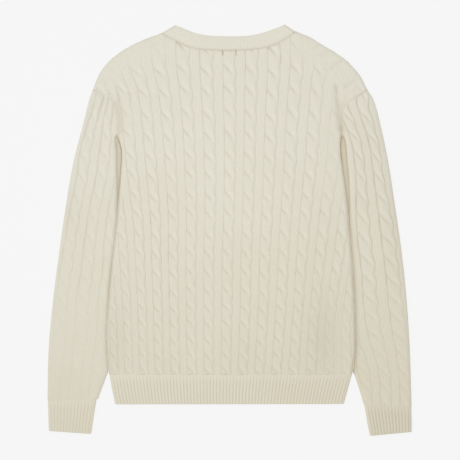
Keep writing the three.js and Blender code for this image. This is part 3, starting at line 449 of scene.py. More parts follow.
class Skin:
    """A closed wall, grown from sheets of rows and from strips that join their borders."""

    def __init__(self):
        self.points = []
        self.extras = []
        self.faces = []
        self.count = 0

    def sheet(self, x, y, z, extras, under=False):
        """Adds a grid of points, in rows from the top down. Its faces look up, or down if under."""
        rows, columns = x.shape
        index = self.count + np.arange(rows * columns).reshape(rows, columns)
        self.points.append(np.stack([x, y, z], axis=-1).reshape(-1, 3))
        values = np.stack([np.broadcast_to(e, x.shape) for e in extras], axis=-1)
        self.extras.append(values.reshape(-1, 4))
        self.count += rows * columns
        a, b, c, d = index[:-1, :-1], index[1:, :-1], index[1:, 1:], index[:-1, 1:]
        quad = np.stack([a, d, c, b] if under else [a, b, c, d], axis=-1)
        self.faces.append(quad.reshape(-1, 4))
        return index

    def strip(self, a, b, at_a, at_b):
        """Joins two lines of points by their places along them, facing up if a is the upper."""
        made = []
        i = j = 0
        while i < len(a) - 1 or j < len(b) - 1:
            if j == len(b) - 1 or (i < len(a) - 1 and at_a[i + 1] <= at_b[j + 1]):
                made.append((a[i], b[j], a[i + 1], a[i + 1]))
                i += 1
            else:
                made.append((a[i], b[j], b[j + 1], b[j + 1]))
                j += 1
        self.faces.append(np.array(made))

    def join(self, swapped, a, b, at_a, at_b):
        self.strip(*((b, a, at_b, at_a) if swapped else (a, b, at_a, at_b)))

    def piece(self, name, node, material):
        """Makes the wall's mesh and puts it in the place of a solid."""
        points = np.concatenate(self.points)
        extras = np.concatenate(self.extras)
        grid = np.round(points * WELD_PARTS).astype(np.int64)
        _, first, back = np.unique(grid, axis=0, return_index=True, return_inverse=True)
        back = back.reshape(-1)
        points, extras = points[first], extras[first]
        faces = back[np.concatenate(self.faces)]
        following = np.roll(faces, -1, axis=1)
        kept = faces != following
        solid = [tuple(f[k]) for f, k in zip(faces, kept) if k.sum() >= 3]
        mesh = bpy.data.meshes.new(name)
        place = (points + (SHIFT_X, SHIFT_Y, 0)) * MM
        mesh.from_pydata(place.tolist(), [], solid)
        mesh.validate()
        mesh.polygons.foreach_set("use_smooth", np.ones(len(mesh.polygons), bool))
        mesh.set_sharp_from_angle(angle=SHARP_ANGLE)
        # Painted shade, and the depth of the painted warm crevice shade, for the material
        for n, key in enumerate(("shade", "depth")):
            layer = mesh.attributes.new(key, "FLOAT", "POINT")
            layer.data.foreach_set("value", extras[:, n].astype(np.float32))
        corner = np.empty(len(mesh.loops), np.int32)
        mesh.loops.foreach_get("vertex_index", corner)
        weave = mesh.uv_layers.new(name="weave")
        weave.data.foreach_set("uv", extras[corner, 2:4].astype(np.float32).reshape(-1))
        mesh.materials.append(material)
        made = placed(name, mesh)
        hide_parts(node)
        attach(made, "root")
        return made


class Paint:
    """A node material under construction."""

    def __init__(self, name):
        self.material = bpy.data.materials.new(name)
        self.material.use_nodes = True
        self.tree = self.material.node_tree
        self.shader = self.tree.nodes["Principled BSDF"]

    def node(self, kind, **values):
        made = self.tree.nodes.new(kind)
        for key, value in values.items():
            setattr(made, key, value)
        return made

    def feed(self, socket, value):
        """Sets a socket to a constant, or links another node's output to it."""
        if isinstance(value, (int, float, tuple)):
            socket.default_value = value
        else:
            self.tree.links.new(value, socket)

    def math(self, operation, a, b=0.0, clamp=False):
        made = self.node("ShaderNodeMath", operation=operation, use_clamp=clamp)
        self.feed(made.inputs[0], a)
        self.feed(made.inputs[1], b)
        return made.outputs[0]

    def attribute(self, name):
        return self.node("ShaderNodeAttribute", attribute_name=name).outputs["Fac"]

    def noise(self, scale, detail, roughness=0.5):
        place = self.node("ShaderNodeTexCoord").outputs["Object"]
        made = self.node("ShaderNodeTexNoise")
        made.inputs["Scale"].default_value = scale
        made.inputs["Detail"].default_value = detail
        made.inputs["Roughness"].default_value = roughness
        self.feed(made.inputs["Vector"], place)
        return made.outputs["Fac"]

    def blend(self, factor, a, b):
        made = self.node("ShaderNodeMix", data_type="RGBA")
        for socket, value in ((0, factor), (6, a), (7, b)):
            self.feed(made.inputs[socket], value)
        return made.outputs[2]


# Colours of the yarn: lit, warm and dimmed by the painted falloff of light, painted shade in its
# hollows, and painted warm shade deep in the crevices under the arms
CREAM = (0.815, 0.791, 0.686, 1)
CREAM_WARM_DIMMED = (0.774, 0.729, 0.593, 1)
HOLLOW_SHADE = (0.51, 0.45, 0.325, 1)
CREVICE_SHADE = (0.60, 0.50, 0.345, 1)

# How far the yarn's colour turns from fresh to warm and darker, at the middle and a metre on: the
# turn down and to the right is a painted falloff of light, the cloud is the yarn's own uneven tone
WARMTH_AND_FALLOFF = {"middle": 0.36, "down": 1.7, "right": 0.63, "cloud": 0.8}

# Relief of the stitches: the wales, the loops that lean down both their sides, the fibres
WALE_RISE = 0.75
WALE_ROUNDNESS = 2.4
LOOP_RISE = 0.16
LOOP_LEAN = 0.55
FIBRE_RISE = 0.55

# Shade of the mottle and between the wales, and the hollows' share of colour at full shade
MOTTLE_SHADE = 0.22
BETWEEN_SHADE = 0.12
BETWEEN_WIDTH = 3.0
HOLLOW_SHARE = 0.66


def knit_material(name, stitch_depth):
    """Cream yarn, with stitch columns and loops that follow the weave's own places, painted shade in
    its hollows and crevices, and a painted falloff of light.
    """
    paint = Paint(name)
    weave = paint.node("ShaderNodeUVMap", uv_map="weave").outputs[0]
    split = paint.node("ShaderNodeSeparateXYZ")
    paint.feed(split.inputs[0], weave)
    across = paint.math("FRACT", split.outputs[0])
    twice = paint.math("MULTIPLY", across, 2.0)
    tent = paint.math("ABSOLUTE", paint.math("SUBTRACT", twice, 1.0))
    wale = paint.math("SUBTRACT", 1.0, paint.math("POWER", tent, WALE_ROUNDNESS))
    along = paint.math("ADD", split.outputs[1], paint.math("MULTIPLY", tent, LOOP_LEAN))
    loop = paint.math("COSINE", paint.math("MULTIPLY", along, 2 * math.pi))
    raised = paint.math("MULTIPLY", wale, WALE_RISE)
    stitch = paint.math("ADD", raised, paint.math("MULTIPLY", loop, LOOP_RISE))
    fuzz = paint.noise(scale=900, detail=4, roughness=0.7)
    height = paint.math("ADD", stitch, paint.math("MULTIPLY", fuzz, FIBRE_RISE))
    bump = paint.node("ShaderNodeBump")
    bump.inputs["Strength"].default_value = 0.6
    bump.inputs["Distance"].default_value = stitch_depth
    paint.feed(bump.inputs["Height"], height)
    place = paint.node("ShaderNodeSeparateXYZ")
    paint.feed(place.inputs[0], paint.node("ShaderNodeTexCoord").outputs["Object"])
    swell = paint.noise(scale=9, detail=3)
    cloud = paint.math("MULTIPLY", paint.math("SUBTRACT", swell, 0.5), WARMTH_AND_FALLOFF["cloud"])
    # Painted falloff of light: the yarn turns warmer and darker down the garment and to the right
    fall = paint.math("MULTIPLY", place.outputs[1], -WARMTH_AND_FALLOFF["down"])
    down = paint.math("ADD", fall, WARMTH_AND_FALLOFF["middle"])
    warmth_and_falloff = paint.math("ADD", down, paint.math("MULTIPLY", place.outputs[0], WARMTH_AND_FALLOFF["right"]))
    tone = paint.blend(paint.math("ADD", warmth_and_falloff, cloud, clamp=True), CREAM, CREAM_WARM_DIMMED)
    grain = paint.noise(scale=260, detail=3, roughness=0.6)
    mottle = paint.math("MULTIPLY", paint.math("SUBTRACT", grain, 0.5), MOTTLE_SHADE)
    between = paint.math("MULTIPLY", paint.math("POWER", tent, BETWEEN_WIDTH), BETWEEN_SHADE)
    # Painted shade and highlights from the shade attribute, painted shade between the wales, and the
    # mottle's own random tone, blend the yarn towards its hollows' painted shade
    plain = paint.math("ADD", paint.attribute("shade"), PLAIN_SHADE)
    shade = paint.math("ADD", plain, paint.math("ADD", mottle, between), clamp=True)
    hollow = paint.blend(paint.math("MULTIPLY", shade, HOLLOW_SHARE), tone, HOLLOW_SHADE)
    # Painted warm shade in the crevices, by the depth attribute
    colour = paint.blend(paint.attribute("depth"), hollow, CREVICE_SHADE)
    paint.feed(paint.shader.inputs["Base Color"], colour)
    paint.feed(paint.shader.inputs["Normal"], bump.outputs[0])
    paint.shader.inputs["Roughness"].default_value = 0.93
    paint.shader.inputs["Specular IOR Level"].default_value = 0.12
    paint.shader.inputs["Sheen Weight"].default_value = 0.12
    paint.shader.inputs["Sheen Roughness"].default_value = 0.6
    return paint.material


cable_knit = knit_material("cream_cable_knit", stitch_depth=0.0006)
rib_knit = knit_material("cream_rib_knit", stitch_depth=0.0004)

# Distances from a turned edge to its points, closest where it curves most
EDGE_OFFSETS = np.array([0, 0.12, 0.45, 1.0, 1.8, 2.8, 4.0, 5.4, 7.0])


def spread(start, stop, count, offsets_start=(), offsets_stop=()):
    """Places from start to stop for each row: offsets in from the ends, even steps between."""
    width = stop - start
    a, b = np.array(offsets_start, float), np.array(offsets_stop, float)
    reach_a, reach_b = (v[-1] if len(v) else 0 for v in (a, b))
    scale = np.minimum(1, 0.5 * np.abs(width) / max(reach_a + reach_b, 1e-9)) * np.sign(width)
    low, high = start + reach_a * scale, stop - reach_b * scale
    s = np.linspace(0, 1, count)
    parts = [start[:, None] + a[None, :-1] * scale[:, None]] if len(a) else []
    parts.append(low[:, None] + (high - low)[:, None] * s)
    if len(b):
        parts.append(stop[:, None] - b[None, -2::-1] * scale[:, None])
    return np.concatenate(parts, axis=1)


NECK_LEFT = BAND_FOLDS[LEFT]["lower"][0]
NECK_RIGHT = BAND_FOLDS[RIGHT]["lower"][0]


def panel_grid(y, beside, below, offsets):
    """Points of a panel: so many beside the neck and so many below it in each row."""
    neck_left, neck_right = np.full(len(y), NECK_LEFT), np.full(len(y), NECK_RIGHT)
    left = spread(body_x(LEFT, y), neck_left, beside, offsets, ())
    middle = spread(neck_left, neck_right, below)
    right = spread(neck_right, body_x(RIGHT, y), beside, (), offsets)
    x = np.concatenate([left, middle[:, 1:-1], right], axis=1)
    return x, np.broadcast_to(y[:, None], x.shape).copy()


def body_t(x, y):
    """Cable columns out from the middle one, and the pitch at the middle."""
    off = x - body_middle(y)
    pitch = np.where(off < 0, body_pitches[LEFT](y), body_pitches[RIGHT](y))
    bend = np.where(off < 0, body_bends[LEFT](y), body_bends[RIGHT](y))
    return 2 * off / (pitch + np.sqrt(pitch * pitch + 4 * bend * np.abs(off))), pitch


def body_edge(x, y):
    return np.minimum(by_side(SHOULDER_PATH, x, y), by_side(SIDE_PATH, x, y))


def body_seam(x, y):
    return np.minimum(by_side(ARMHOLE_PATH, x, y), np.maximum(neck_y(x) - y, 0))


def front_edge(part, edge, drop):
    """The front of the neck, from its left fold at part 0 to its right one."""
    left, right = BAND_FOLDS[LEFT][edge], BAND_FOLDS[RIGHT][edge]
    across = (1 - np.cos(part * np.pi)) / 2
    x, y = (mix(left[n], right[n], across) for n in (0, 1))
    return x, y - drop * np.sin(part * np.pi)


FRONT_PARTS = np.linspace(0, 1, 61)
FRONT_NECK = front_edge(FRONT_PARTS, "lower", FRONT_LOWER_DROP)


def front_neck_y(x):
    return np.interp(x, FRONT_NECK[0], FRONT_NECK[1])


def rows_of(*spans):
    """Heights from the top down, in spans of (from, to, step)."""
    made = []
    for start, stop, step in spans:
        count = max(int(round(abs(start - stop) / step)), 1)
        made.append(np.linspace(start, stop, count, endpoint=False))
    return np.concatenate(made + [np.array([spans[-1][1]], float)])


def ends_of(skin, upper, lower, x_upper, y_upper, x_lower, y_lower):
    """Joins two sheets of a wall round their whole border."""
    skin.strip(upper[:, 0], lower[:, 0], -y_upper[:, 0], -y_lower[:, 0])
    skin.strip(lower[:, -1], upper[:, -1], -y_lower[:, -1], -y_upper[:, -1])
    skin.strip(lower[0], upper[0], x_lower[0], x_upper[0])
    skin.strip(upper[-1], lower[-1], x_upper[-1], x_lower[-1])


# Seams: how far the cloth dips, how wide, and the shade that lies along them
SEAM_DIP = 0.7
SEAM_WIDTH = 1.9
SEAM_SHADE = 0.3
CUFF_DIP = 0.5
NECK_SEAM_SHADE = 0.12

# Painted shade that darkens the cables' lines just under the neckband, and the warm painted shade
# down the body's sides
NECK_LINE_SHADE = 1.2
NECK_LINE_SHADE_REACH = 9
SIDE_DEPTH = 0.3
SIDE_DEPTH_WIDTH = 1.8

# Soft swells of the cloth, and the plain strip outside the outermost cables, in columns
BODY_SWELL = 0.35
SLEEVE_SWELL = 0.4
OUTERMOST = 7.55

# How clearly the armhole seams show: faint on the left, clear over the right shoulder
SEAM_SHOW = {LEFT: (-232, -206, 0.5), RIGHT: (232, 206, 1.0)}


def seam_show(x, y):
    show = np.ones(np.shape(x))
    for side, (clear, lost, most) in SEAM_SHOW.items():
        along = ease(lost, clear, x)
        here = (y > PIT_Y - 4) & (y < TIP_Y + 6) & (x * SIGN[side] > 150)
        show = np.where(here, most * (0.25 + 0.75 * along), show)
    return show


# Places where the cloth lies flatter: middle, reach and how much flatter
CALM = table(
    "x y wide tall less",
    (-175, -200, 40, 60, 0.25),
    (-150, -60, 50, 130, -0.3),
    (-30, 261, 120, 26, -0.15),
    (192, 150, 26, 70, 0.75),
    (-192, 205, 18, 30, 0.6),
    (205, 265, 40, 30, 0.6),
    (190, -190, 32, 80, 0.55),
)

# Soft patches of light and shade: middle, reach and shade
TONES = table(
    "x y wide tall shade",
    (0, 70, 130, 100, -0.08),
    (168, -195, 26, 60, 0.28),
    (-203, -195, 22, 60, 0.15),
    (298, 15, 26, 70, 0.14),
    (245, 45, 22, 40, 0.07),
    (-302, 55, 22, 45, 0.15),
    (-242, 207, 26, 28, -0.1),
)

# The painted warm shade that runs up from the top of each crevice: x, its two ends and its strength
PIT_SHADES = {LEFT: (-199.5, 174, 168, 0.25), RIGHT: (202, 186, 168, 0.55)}
PIT_SHADE_WIDTH = 3.6


def patch(x, y, at_x, at_y, wide, tall):
    return np.exp(-(((x - at_x) / wide) ** 2) - ((y - at_y) / tall) ** 2)


def tone(x, y):
    total = np.zeros(np.shape(x))
    for *place, shade in zip(*TONES.values()):
        total = total + shade * patch(x, y, *place)
    return total


# Painted warm shade up from the top of each crevice
def pit_shade(x, y):
    total = np.zeros(np.shape(x))
    for at_x, high, low, share in PIT_SHADES.values():
        away = line_distance(x, y, at_x, high, at_x, low)
        total = total + share * bell(away, PIT_SHADE_WIDTH)
    return total


def calm(x, y):
    share = np.ones(np.shape(x))
    for *place, less in zip(*CALM.values()):
        share = share * (1 - less * patch(x, y, *place))
    return share


def shoulder_fade(x, y):
    """The cables are pulled flat along the shoulders."""
    away = by_side(SHOULDER_PATH, x, y)
    yoke = ease(230, 300, y) * ease(95, 135, np.abs(x))
    return mix(1, 0.12 + 0.88 * ease(14, 62, away), yoke)


def back_panel():
    skin = Skin()
    y = rows_of((NECK_Y, 320, 1.6), (320, TIP_Y, 2.1), (TIP_Y, PIT_Y, 2.0), (PIT_Y, HEM_Y, 2.15))
    x, yy = panel_grid(y, beside=62, below=150, offsets=EDGE_OFFSETS)
    yy = np.minimum(yy, neck_y(x))
    t, pitch = body_t(x, yy)
    level = body_level(yy)
    edge, seam = body_edge(x, yy), body_seam(x, yy)
    rise, shade = cable(t, level, pitch, 0.4)
    inside = (np.abs(t) < OUTERMOST).astype(float)
    fade = ease(0.5, 6, edge) * ease(0, 3, seam) * ease(0, 2, yy - HEM_Y)
    fade = fade * shoulder_fade(x, yy) * inside
    uneven = (1 - 0.3 * ease(0.1, 0.8, waves(x, yy, 240, 0.6))) * calm(x, yy)
    z = BACK_CLOSED + (BODY_HEIGHT - BACK_CLOSED) * rounded(edge, EDGE_RADIUS)
    crease, crease_shade = creased(x, yy)
    swell = BODY_SWELL * waves(x, yy, 130, 2.2) * ease(0, 12, edge)
    z = z + rise * fade * uneven + crease * ease(0, 6, edge) + swell
    neck = np.maximum(neck_y(x) - yy, 0)
    z = z - SEAM_DIP * bell(seam, SEAM_WIDTH) * seam_show(x, yy) * (1 - 0.5 * bell(neck, 6))
    # Painted shade: the cables' lines darken just under the neckband
    neck_darkened = 1 + NECK_LINE_SHADE * bell(neck, NECK_LINE_SHADE_REACH)
    sewn = SEAM_SHADE * bell(seam, SEAM_WIDTH) * seam_show(x, yy)
    sewn = sewn + NECK_SEAM_SHADE * bell(neck, 3.0)
    # Painted warm shade down the body's sides below the armpits and up from the top of each crevice
    from_side = by_side(SIDE_PATH, x, yy)
    depth = SIDE_DEPTH * bell(from_side, SIDE_DEPTH_WIDTH) * (yy < PIT_Y) + pit_shade(x, yy)
    shade = shade * fade * uneven * neck_darkened + crease_shade + sewn + tone(x, yy)
    upper = skin.sheet(x, yy, z, [shade, depth, *weave(t, level)])
    iy = rows_of((NECK_Y, 320, 6), (320, TIP_Y, 11), (TIP_Y, PIT_Y, 8.5), (PIT_Y, HEM_Y, 24))
    ix, iyy = panel_grid(iy, beside=5, below=24, offsets=[0, 5])
    iyy = np.minimum(iyy, neck_y(ix))
    iedge = body_edge(ix, iyy)
    inner_lift = rounded(iedge - WALL, EDGE_RADIUS - WALL)
    iz = BACK_CLOSED + (BODY_HEIGHT - WALL - BACK_CLOSED) * inner_lift
    lower = skin.sheet(ix, iyy, iz, [0.3, 0, 0, 0], under=True)
    ends_of(skin, upper, lower, x, yy, ix, iyy)
    return skin.piece("back_panel_knit", "back_panel", cable_knit)


def front_panel():
    skin = Skin()
    y = rows_of((NECK_Y, 250, 2.4), (250, PIT_Y, 3), (PIT_Y, HEM_Y, 6))
    x, yy = panel_grid(y, beside=24, below=70, offsets=EDGE_OFFSETS)
    yy = np.minimum(yy, front_neck_y(x))
    edge = body_edge(x, yy)
    t, _ = body_t(x, yy)
    level = body_level(yy)
    uv = weave(t, level)
    inner_lift = rounded(edge - WALL, EDGE_RADIUS - WALL)
    inner_z = FRONT_CLOSED + (WALL - FRONT_CLOSED) * inner_lift
    upper = skin.sheet(x, yy, inner_z, [0.2, 0, *uv])
    outer_z = FRONT_CLOSED * (1 - rounded(edge, EDGE_RADIUS))
    lower = skin.sheet(x, yy, outer_z, [0.1, 0, *uv], under=True)
    ends_of(skin, upper, lower, x, yy, x, yy)
    return skin.piece("front_panel_knit", "front_panel", cable_knit)


# The low shelf of sleeve that shows in each crevice
SHELF_EDGE = 1.4
SHELF_RISE = 1.4
CREVICE_LIP = 2
WIDE_CREVICE = 5


def sleeve_height(y):
    return mix(SLEEVE_HEIGHT, BODY_HEIGHT, ease(120, 230, y))


def shelf_edge(side, y):
    return mix(MIDDLE, SHELF_EDGE, np.clip(np.maximum(crevice_of[side](y), 0) / WIDE_CREVICE, 0, 1))


def sleeve_edges(side, x, y):
    """Distances from the fold and from the inner edge, and the crevice's width."""
    shoulder = SHOULDER_PATH[side] + FOLD_PATH[side][1:]
    outer = path_distance(shoulder, x, y)
    inner = path_distance(INNER_PATH[side], x, y)
    return outer, inner, np.maximum(crevice_of[side](y), 0)


def cuff_seam_y(side, x):
    left, right = (CUFF_SIDES[side][end] for end in (LEFT, RIGHT))
    part = (x - left["x"][0]) / (right["x"][0] - left["x"][0])
    return mix(left["y"][0], right["y"][0], part) + SEWN_GAP


def armhole_end(side, y):
    """The sleeve's end of the armhole seam, moved off the body by the seam's gap."""
    reach = 3
    high, low = np.minimum(y + reach, TIP_Y), y - reach
    run = armhole_x[side](high) - armhole_x[side](low)
    length = np.hypot(run, high - low)
    x = armhole_x[side](y) + SIGN[side] * SEWN_GAP * (high - low) / length
    down = y - SIGN[side] * SEWN_GAP * run / length
    below = armhole_x[side](y) + SIGN[side] * SIDE_GAP
    return np.where(y > PIT_Y, x, below), np.where(y > PIT_Y, down, y)


# How each sleeve's cables look, for cable(), and how strongly they show above the cuff
SLEEVE_CABLES = {
    LEFT: dict(seed=1.9, longer=0, strokes=0.5, channels=1.2, channel_width=1.7, slant=0.285),
    RIGHT: dict(seed=3.3, longer=0.15, strokes=0.8, channels=1.45, channel_width=1.5, slant=0.36),
}
SLEEVE_SHOW = {LEFT: {"all": 0.8, "low": 0.3}, RIGHT: {"all": 1.1, "low": 0.55}}

# Painted warm shade in each crevice, as depth of colour: all over it, along its wall high and low,
# and at its lip
CREVICE_DEPTH = 0.42
CREVICE_SHADING = {
    LEFT: {"wall": 0.5, "wall_below": 0.5, "lip": 0.05, "contact_width": 3.6},
    RIGHT: {"wall": 0.58, "wall_below": 0.1, "lip": 0.5, "contact_width": 4.6},
}

# Shade where each sleeve lies against the body
CONTACTS = table(
    "y left right",
    (150, 0, 0),
    (126, 0.05, 0.12),
    (72, 0.35, 0.3),
    (36, 0.3, 0.55),
    (-18, 0.1, 0.8),
    (-90, 0.3, 0.8),
    (-160, 0, 0.8),
    (-250, 0, 0.8),
    (-262, 0, 0),
)
contact_of = sides(CONTACTS)


# The fold's column and the inner edge's in each sleeve's grid, which runs from left to right
RIMS = {LEFT: (0, -1), RIGHT: (-1, 0)}


def close_rims(side, z, edge, below):
    """Sets the heights where the two faces of a sleeve meet: its fold, its inner edge and its tip."""
    outer_end, inner_end = RIMS[side]
    z[:, outer_end] = MIDDLE
    z[:, inner_end] = np.where(below[:, inner_end], edge[:, inner_end], z[:, inner_end])
    z[0] = MIDDLE


def sleeve(side):
    skin = Skin()
    sign = SIGN[side]
    cuff_middle = (CUFF_SIDES[side][LEFT]["x"][0] + CUFF_SIDES[side][RIGHT]["x"][0]) / 2
    seam_mid = float(cuff_seam_y(side, cuff_middle))

    def grid(spans, count):
        y = rows_of(*spans)
        end, end_y = armhole_end(side, y)
        inner = np.where(y > PIT_Y - 1e-6, end, sleeve_inner_x(side, y))
        outer = fold_x[side](y)
        x = spread(inner, outer, count, EDGE_OFFSETS, EDGE_OFFSETS)
        part = np.abs(x - inner[:, None]) / np.maximum(np.abs(outer - inner), 1e-6)[:, None]
        lowered = np.where(y > PIT_Y, end_y - y, 0)
        yy = y[:, None] + lowered[:, None] * (1 - np.clip(part * 6, 0, 1))
        yy = np.where(np.arange(len(y))[:, None] == len(y) - 1, cuff_seam_y(side, x), yy)
        if side == LEFT:
            x, yy = x[:, ::-1], yy[:, ::-1]
        return x, yy

    top_spans = ((TIP_Y, 225, 1.2), (225, PIT_Y, 1.9), (PIT_Y, seam_mid, 2.1))
    x, y = grid(top_spans, 78)
    outer, inner, opened = sleeve_edges(side, x, y)
    below = y <= PIT_Y + 0.01
    first, pitch_of = (curve(SLEEVE_COLUMNS[side], "y", name) for name in ("first", "pitch"))
    t = (x - first(y)) / pitch_of(y)
    level = sleeve_level(y)
    height, edge = sleeve_height(y), shelf_edge(side, y)
    shelf = SHELF_RISE * np.clip(opened / WIDE_CREVICE, 0, 1)
    lip = edge + shelf * rounded(inner, CREVICE_LIP)
    near_inner = lip + (height - edge - shelf) * rounded(inner - opened, EDGE_RADIUS)
    near_outer = MIDDLE + (height - MIDDLE) * rounded(outer, EDGE_RADIUS)
    z = np.minimum(near_inner, near_outer)
    from_edge = np.minimum(outer, inner - opened)
    seam = path_distance(ARMHOLE_PATH[side], x, y)
    look, show, shaded = SLEEVE_CABLES[side], SLEEVE_SHOW[side], CREVICE_SHADING[side]
    rise, shade = cable(t, level, pitch_of(y), **look)
    strength = show["all"] * mix(show["low"], 1, ease(-230, -20, y))
    above_cuff = y - cuff_seam_y(side, x)
    fade = ease(0.5, 7, from_edge) * ease(0, 4, seam) * ease(0, 3, above_cuff) * strength
    crease, crease_shade = creased(x, y)
    swell = SLEEVE_SWELL * waves(x, y, 110, look["seed"]) * ease(0, 12, from_edge)
    z = z + rise * fade + crease * ease(0, 7, from_edge) + swell
    z = z - SEAM_DIP * bell(seam, SEAM_WIDTH) * seam_show(x, y)
    z = z - CUFF_DIP * (1 - ease(0, 8, above_cuff)) * ease(0, 7, from_edge)
    close_rims(side, z, edge, below)
    # Painted warm shade in the crevice and where the sleeve lies against the body, with painted shade
    # from the soft patches
    wall = mix(shaded["wall_below"], shaded["wall"], ease(110, 138, y))
    crevice_darkness = CREVICE_DEPTH + wall * bell(inner, 2.0) + shaded["lip"] * bell(inner - opened, 1.4)
    depth = ease(0.6, 2.5, opened) * (1 - ease(-1.0, 2.0, inner - opened)) * crevice_darkness
    contact = contact_of[side](y) * bell(inner, shaded["contact_width"])
    depth = np.clip(np.maximum(depth, 0.5 * contact) * below + pit_shade(x, y), 0, 1)
    shade = shade * fade + contact * below + tone(x, y)
    sewn = SEAM_SHADE * bell(seam, SEAM_WIDTH) * seam_show(x, y)
    top = skin.sheet(x, y, z, [shade + crease_shade + sewn, depth, *weave(t, level)])

    under_spans = ((TIP_Y, 225, 2.4), (225, PIT_Y, 4), (PIT_Y, seam_mid, 7))
    ux, uy = grid(under_spans, 22)
    uouter, uinner, _ = sleeve_edges(side, ux, uy)
    ubelow = uy <= PIT_Y + 0.01
    uz = np.maximum(
        shelf_edge(side, uy) * (1 - rounded(uinner, EDGE_RADIUS)),
        MIDDLE * (1 - rounded(uouter, EDGE_RADIUS)),
    )
    close_rims(side, uz, shelf_edge(side, uy), ubelow)
    ut = (ux - first(uy)) / pitch_of(uy)
    under = skin.sheet(ux, uy, uz, [0.1, 0, *weave(ut, sleeve_level(uy))], under=True)

    inner_spans = ((TIP_Y - 2, 225, 5), (225, PIT_Y, 9), (PIT_Y, seam_mid, 24))

    def slit(roof):
        """The upper or lower face of the hollow, closed along both of its sides."""
        y_rows = rows_of(*inner_spans)
        opened_rows = np.where(y_rows <= PIT_Y, np.maximum(crevice_of[side](y_rows), 0), 0)
        end, end_y = armhole_end(side, y_rows)
        start = np.where(y_rows > PIT_Y, end, sleeve_inner_x(side, y_rows) + sign * opened_rows)
        is_seam = y_rows > PIT_Y
        start = start + np.where(is_seam, 0, sign * WALL)
        stop = fold_x[side](y_rows) - sign * WALL
        sx = start[:, None] + (stop - start)[:, None] * np.linspace(0, 1, 9)
        sy = np.broadcast_to(y_rows[:, None], sx.shape).copy()
        sy[:, 0] = np.where(is_seam, end_y, y_rows)
        sy[-1] = cuff_seam_y(side, sx[-1])
        s_outer, s_inner, s_open = sleeve_edges(side, sx, sy)
        lift = rounded(np.minimum(s_outer, s_inner - s_open) - WALL, EDGE_RADIUS - WALL)
        level_z = sleeve_height(sy) - WALL if roof else WALL
        sz = MIDDLE + (level_z - MIDDLE) * lift
        sz[:, -1] = MIDDLE
        sz[:, 0] = np.where(is_seam, sz[:, 0], MIDDLE)
        sz[0] = MIDDLE
        if side == LEFT:
            sx, sy, sz = sx[:, ::-1], sy[:, ::-1], sz[:, ::-1]
        return sx, sy, skin.sheet(sx, sy, sz, [0.3, 0, 0, 0], under=roof)

    rx, ry, roof = slit(True)
    _, _, floor = slit(False)
    inner_end = RIMS[side][1]

    def seam_part(index, ys):
        """The points along the armhole seam, where the sleeve is open."""
        keep = ys[:, inner_end] >= PIT_Y - 1e-6
        return index[keep, inner_end], -ys[keep, inner_end]

    top_line, top_at = seam_part(top, y)
    under_line, under_at = seam_part(under, uy)
    roof_line, roof_at = seam_part(roof, ry)
    floor_line, floor_at = seam_part(floor, ry)
    skin.join(side == LEFT, top_line, roof_line, top_at, roof_at)
    skin.join(side == LEFT, floor_line, under_line, floor_at, under_at)
    skin.strip(top[-1], roof[-1], x[-1], rx[-1])
    skin.strip(floor[-1], under[-1], rx[-1], ux[-1])
    joined(skin, top, under, y, uy, side)
    return skin.piece(f"sleeve_{side}_knit", f"sleeve_{side}", cable_knit)


def joined(skin, top, under, y, uy, side):
    """Joins a sleeve's top and underside along its two turned edges."""
    for end, high in zip(RIMS[side], (TIP_Y, PIT_Y)):
        keep_top, keep_under = (rows[:, end] <= high + 1e-6 for rows in (y, uy))
        a, at_a = top[keep_top, end], -y[keep_top, end]
        b, at_b = under[keep_under, end], -uy[keep_under, end]
        skin.join(end != 0, a, b, at_a, at_b)


def band_grid(sides_of, parts, fractions, offsets):
    """A band's points: rows by part of its depth, columns from its left side to its right side."""
    ends = {}
    for end in (LEFT, RIGHT):
        ends[end] = [curve(sides_of[end], "part", axis)(parts) for axis in ("x", "y")]
    width = ends[RIGHT][0] - ends[LEFT][0]
    s = spread(np.zeros(len(parts)), width, fractions, offsets, offsets) / width[:, None]
    x = ends[LEFT][0][:, None] + width[:, None] * s
    y = mix(ends[LEFT][1][:, None], ends[RIGHT][1][:, None], s)
    return x, y, s, np.minimum(s, 1 - s) * width[:, None]


# Painted shade between the ribs of each band, and a painted shade over all of it, a painted
# lightening where it is below zero
RIB_SHADES = {"cuff_left": (0.4, -0.05), "cuff_right": (0.56, 0.08), "hem_band": (0.56, -0.1)}
POINTS_A_RIB = 7
RIB_ROW = 2.9


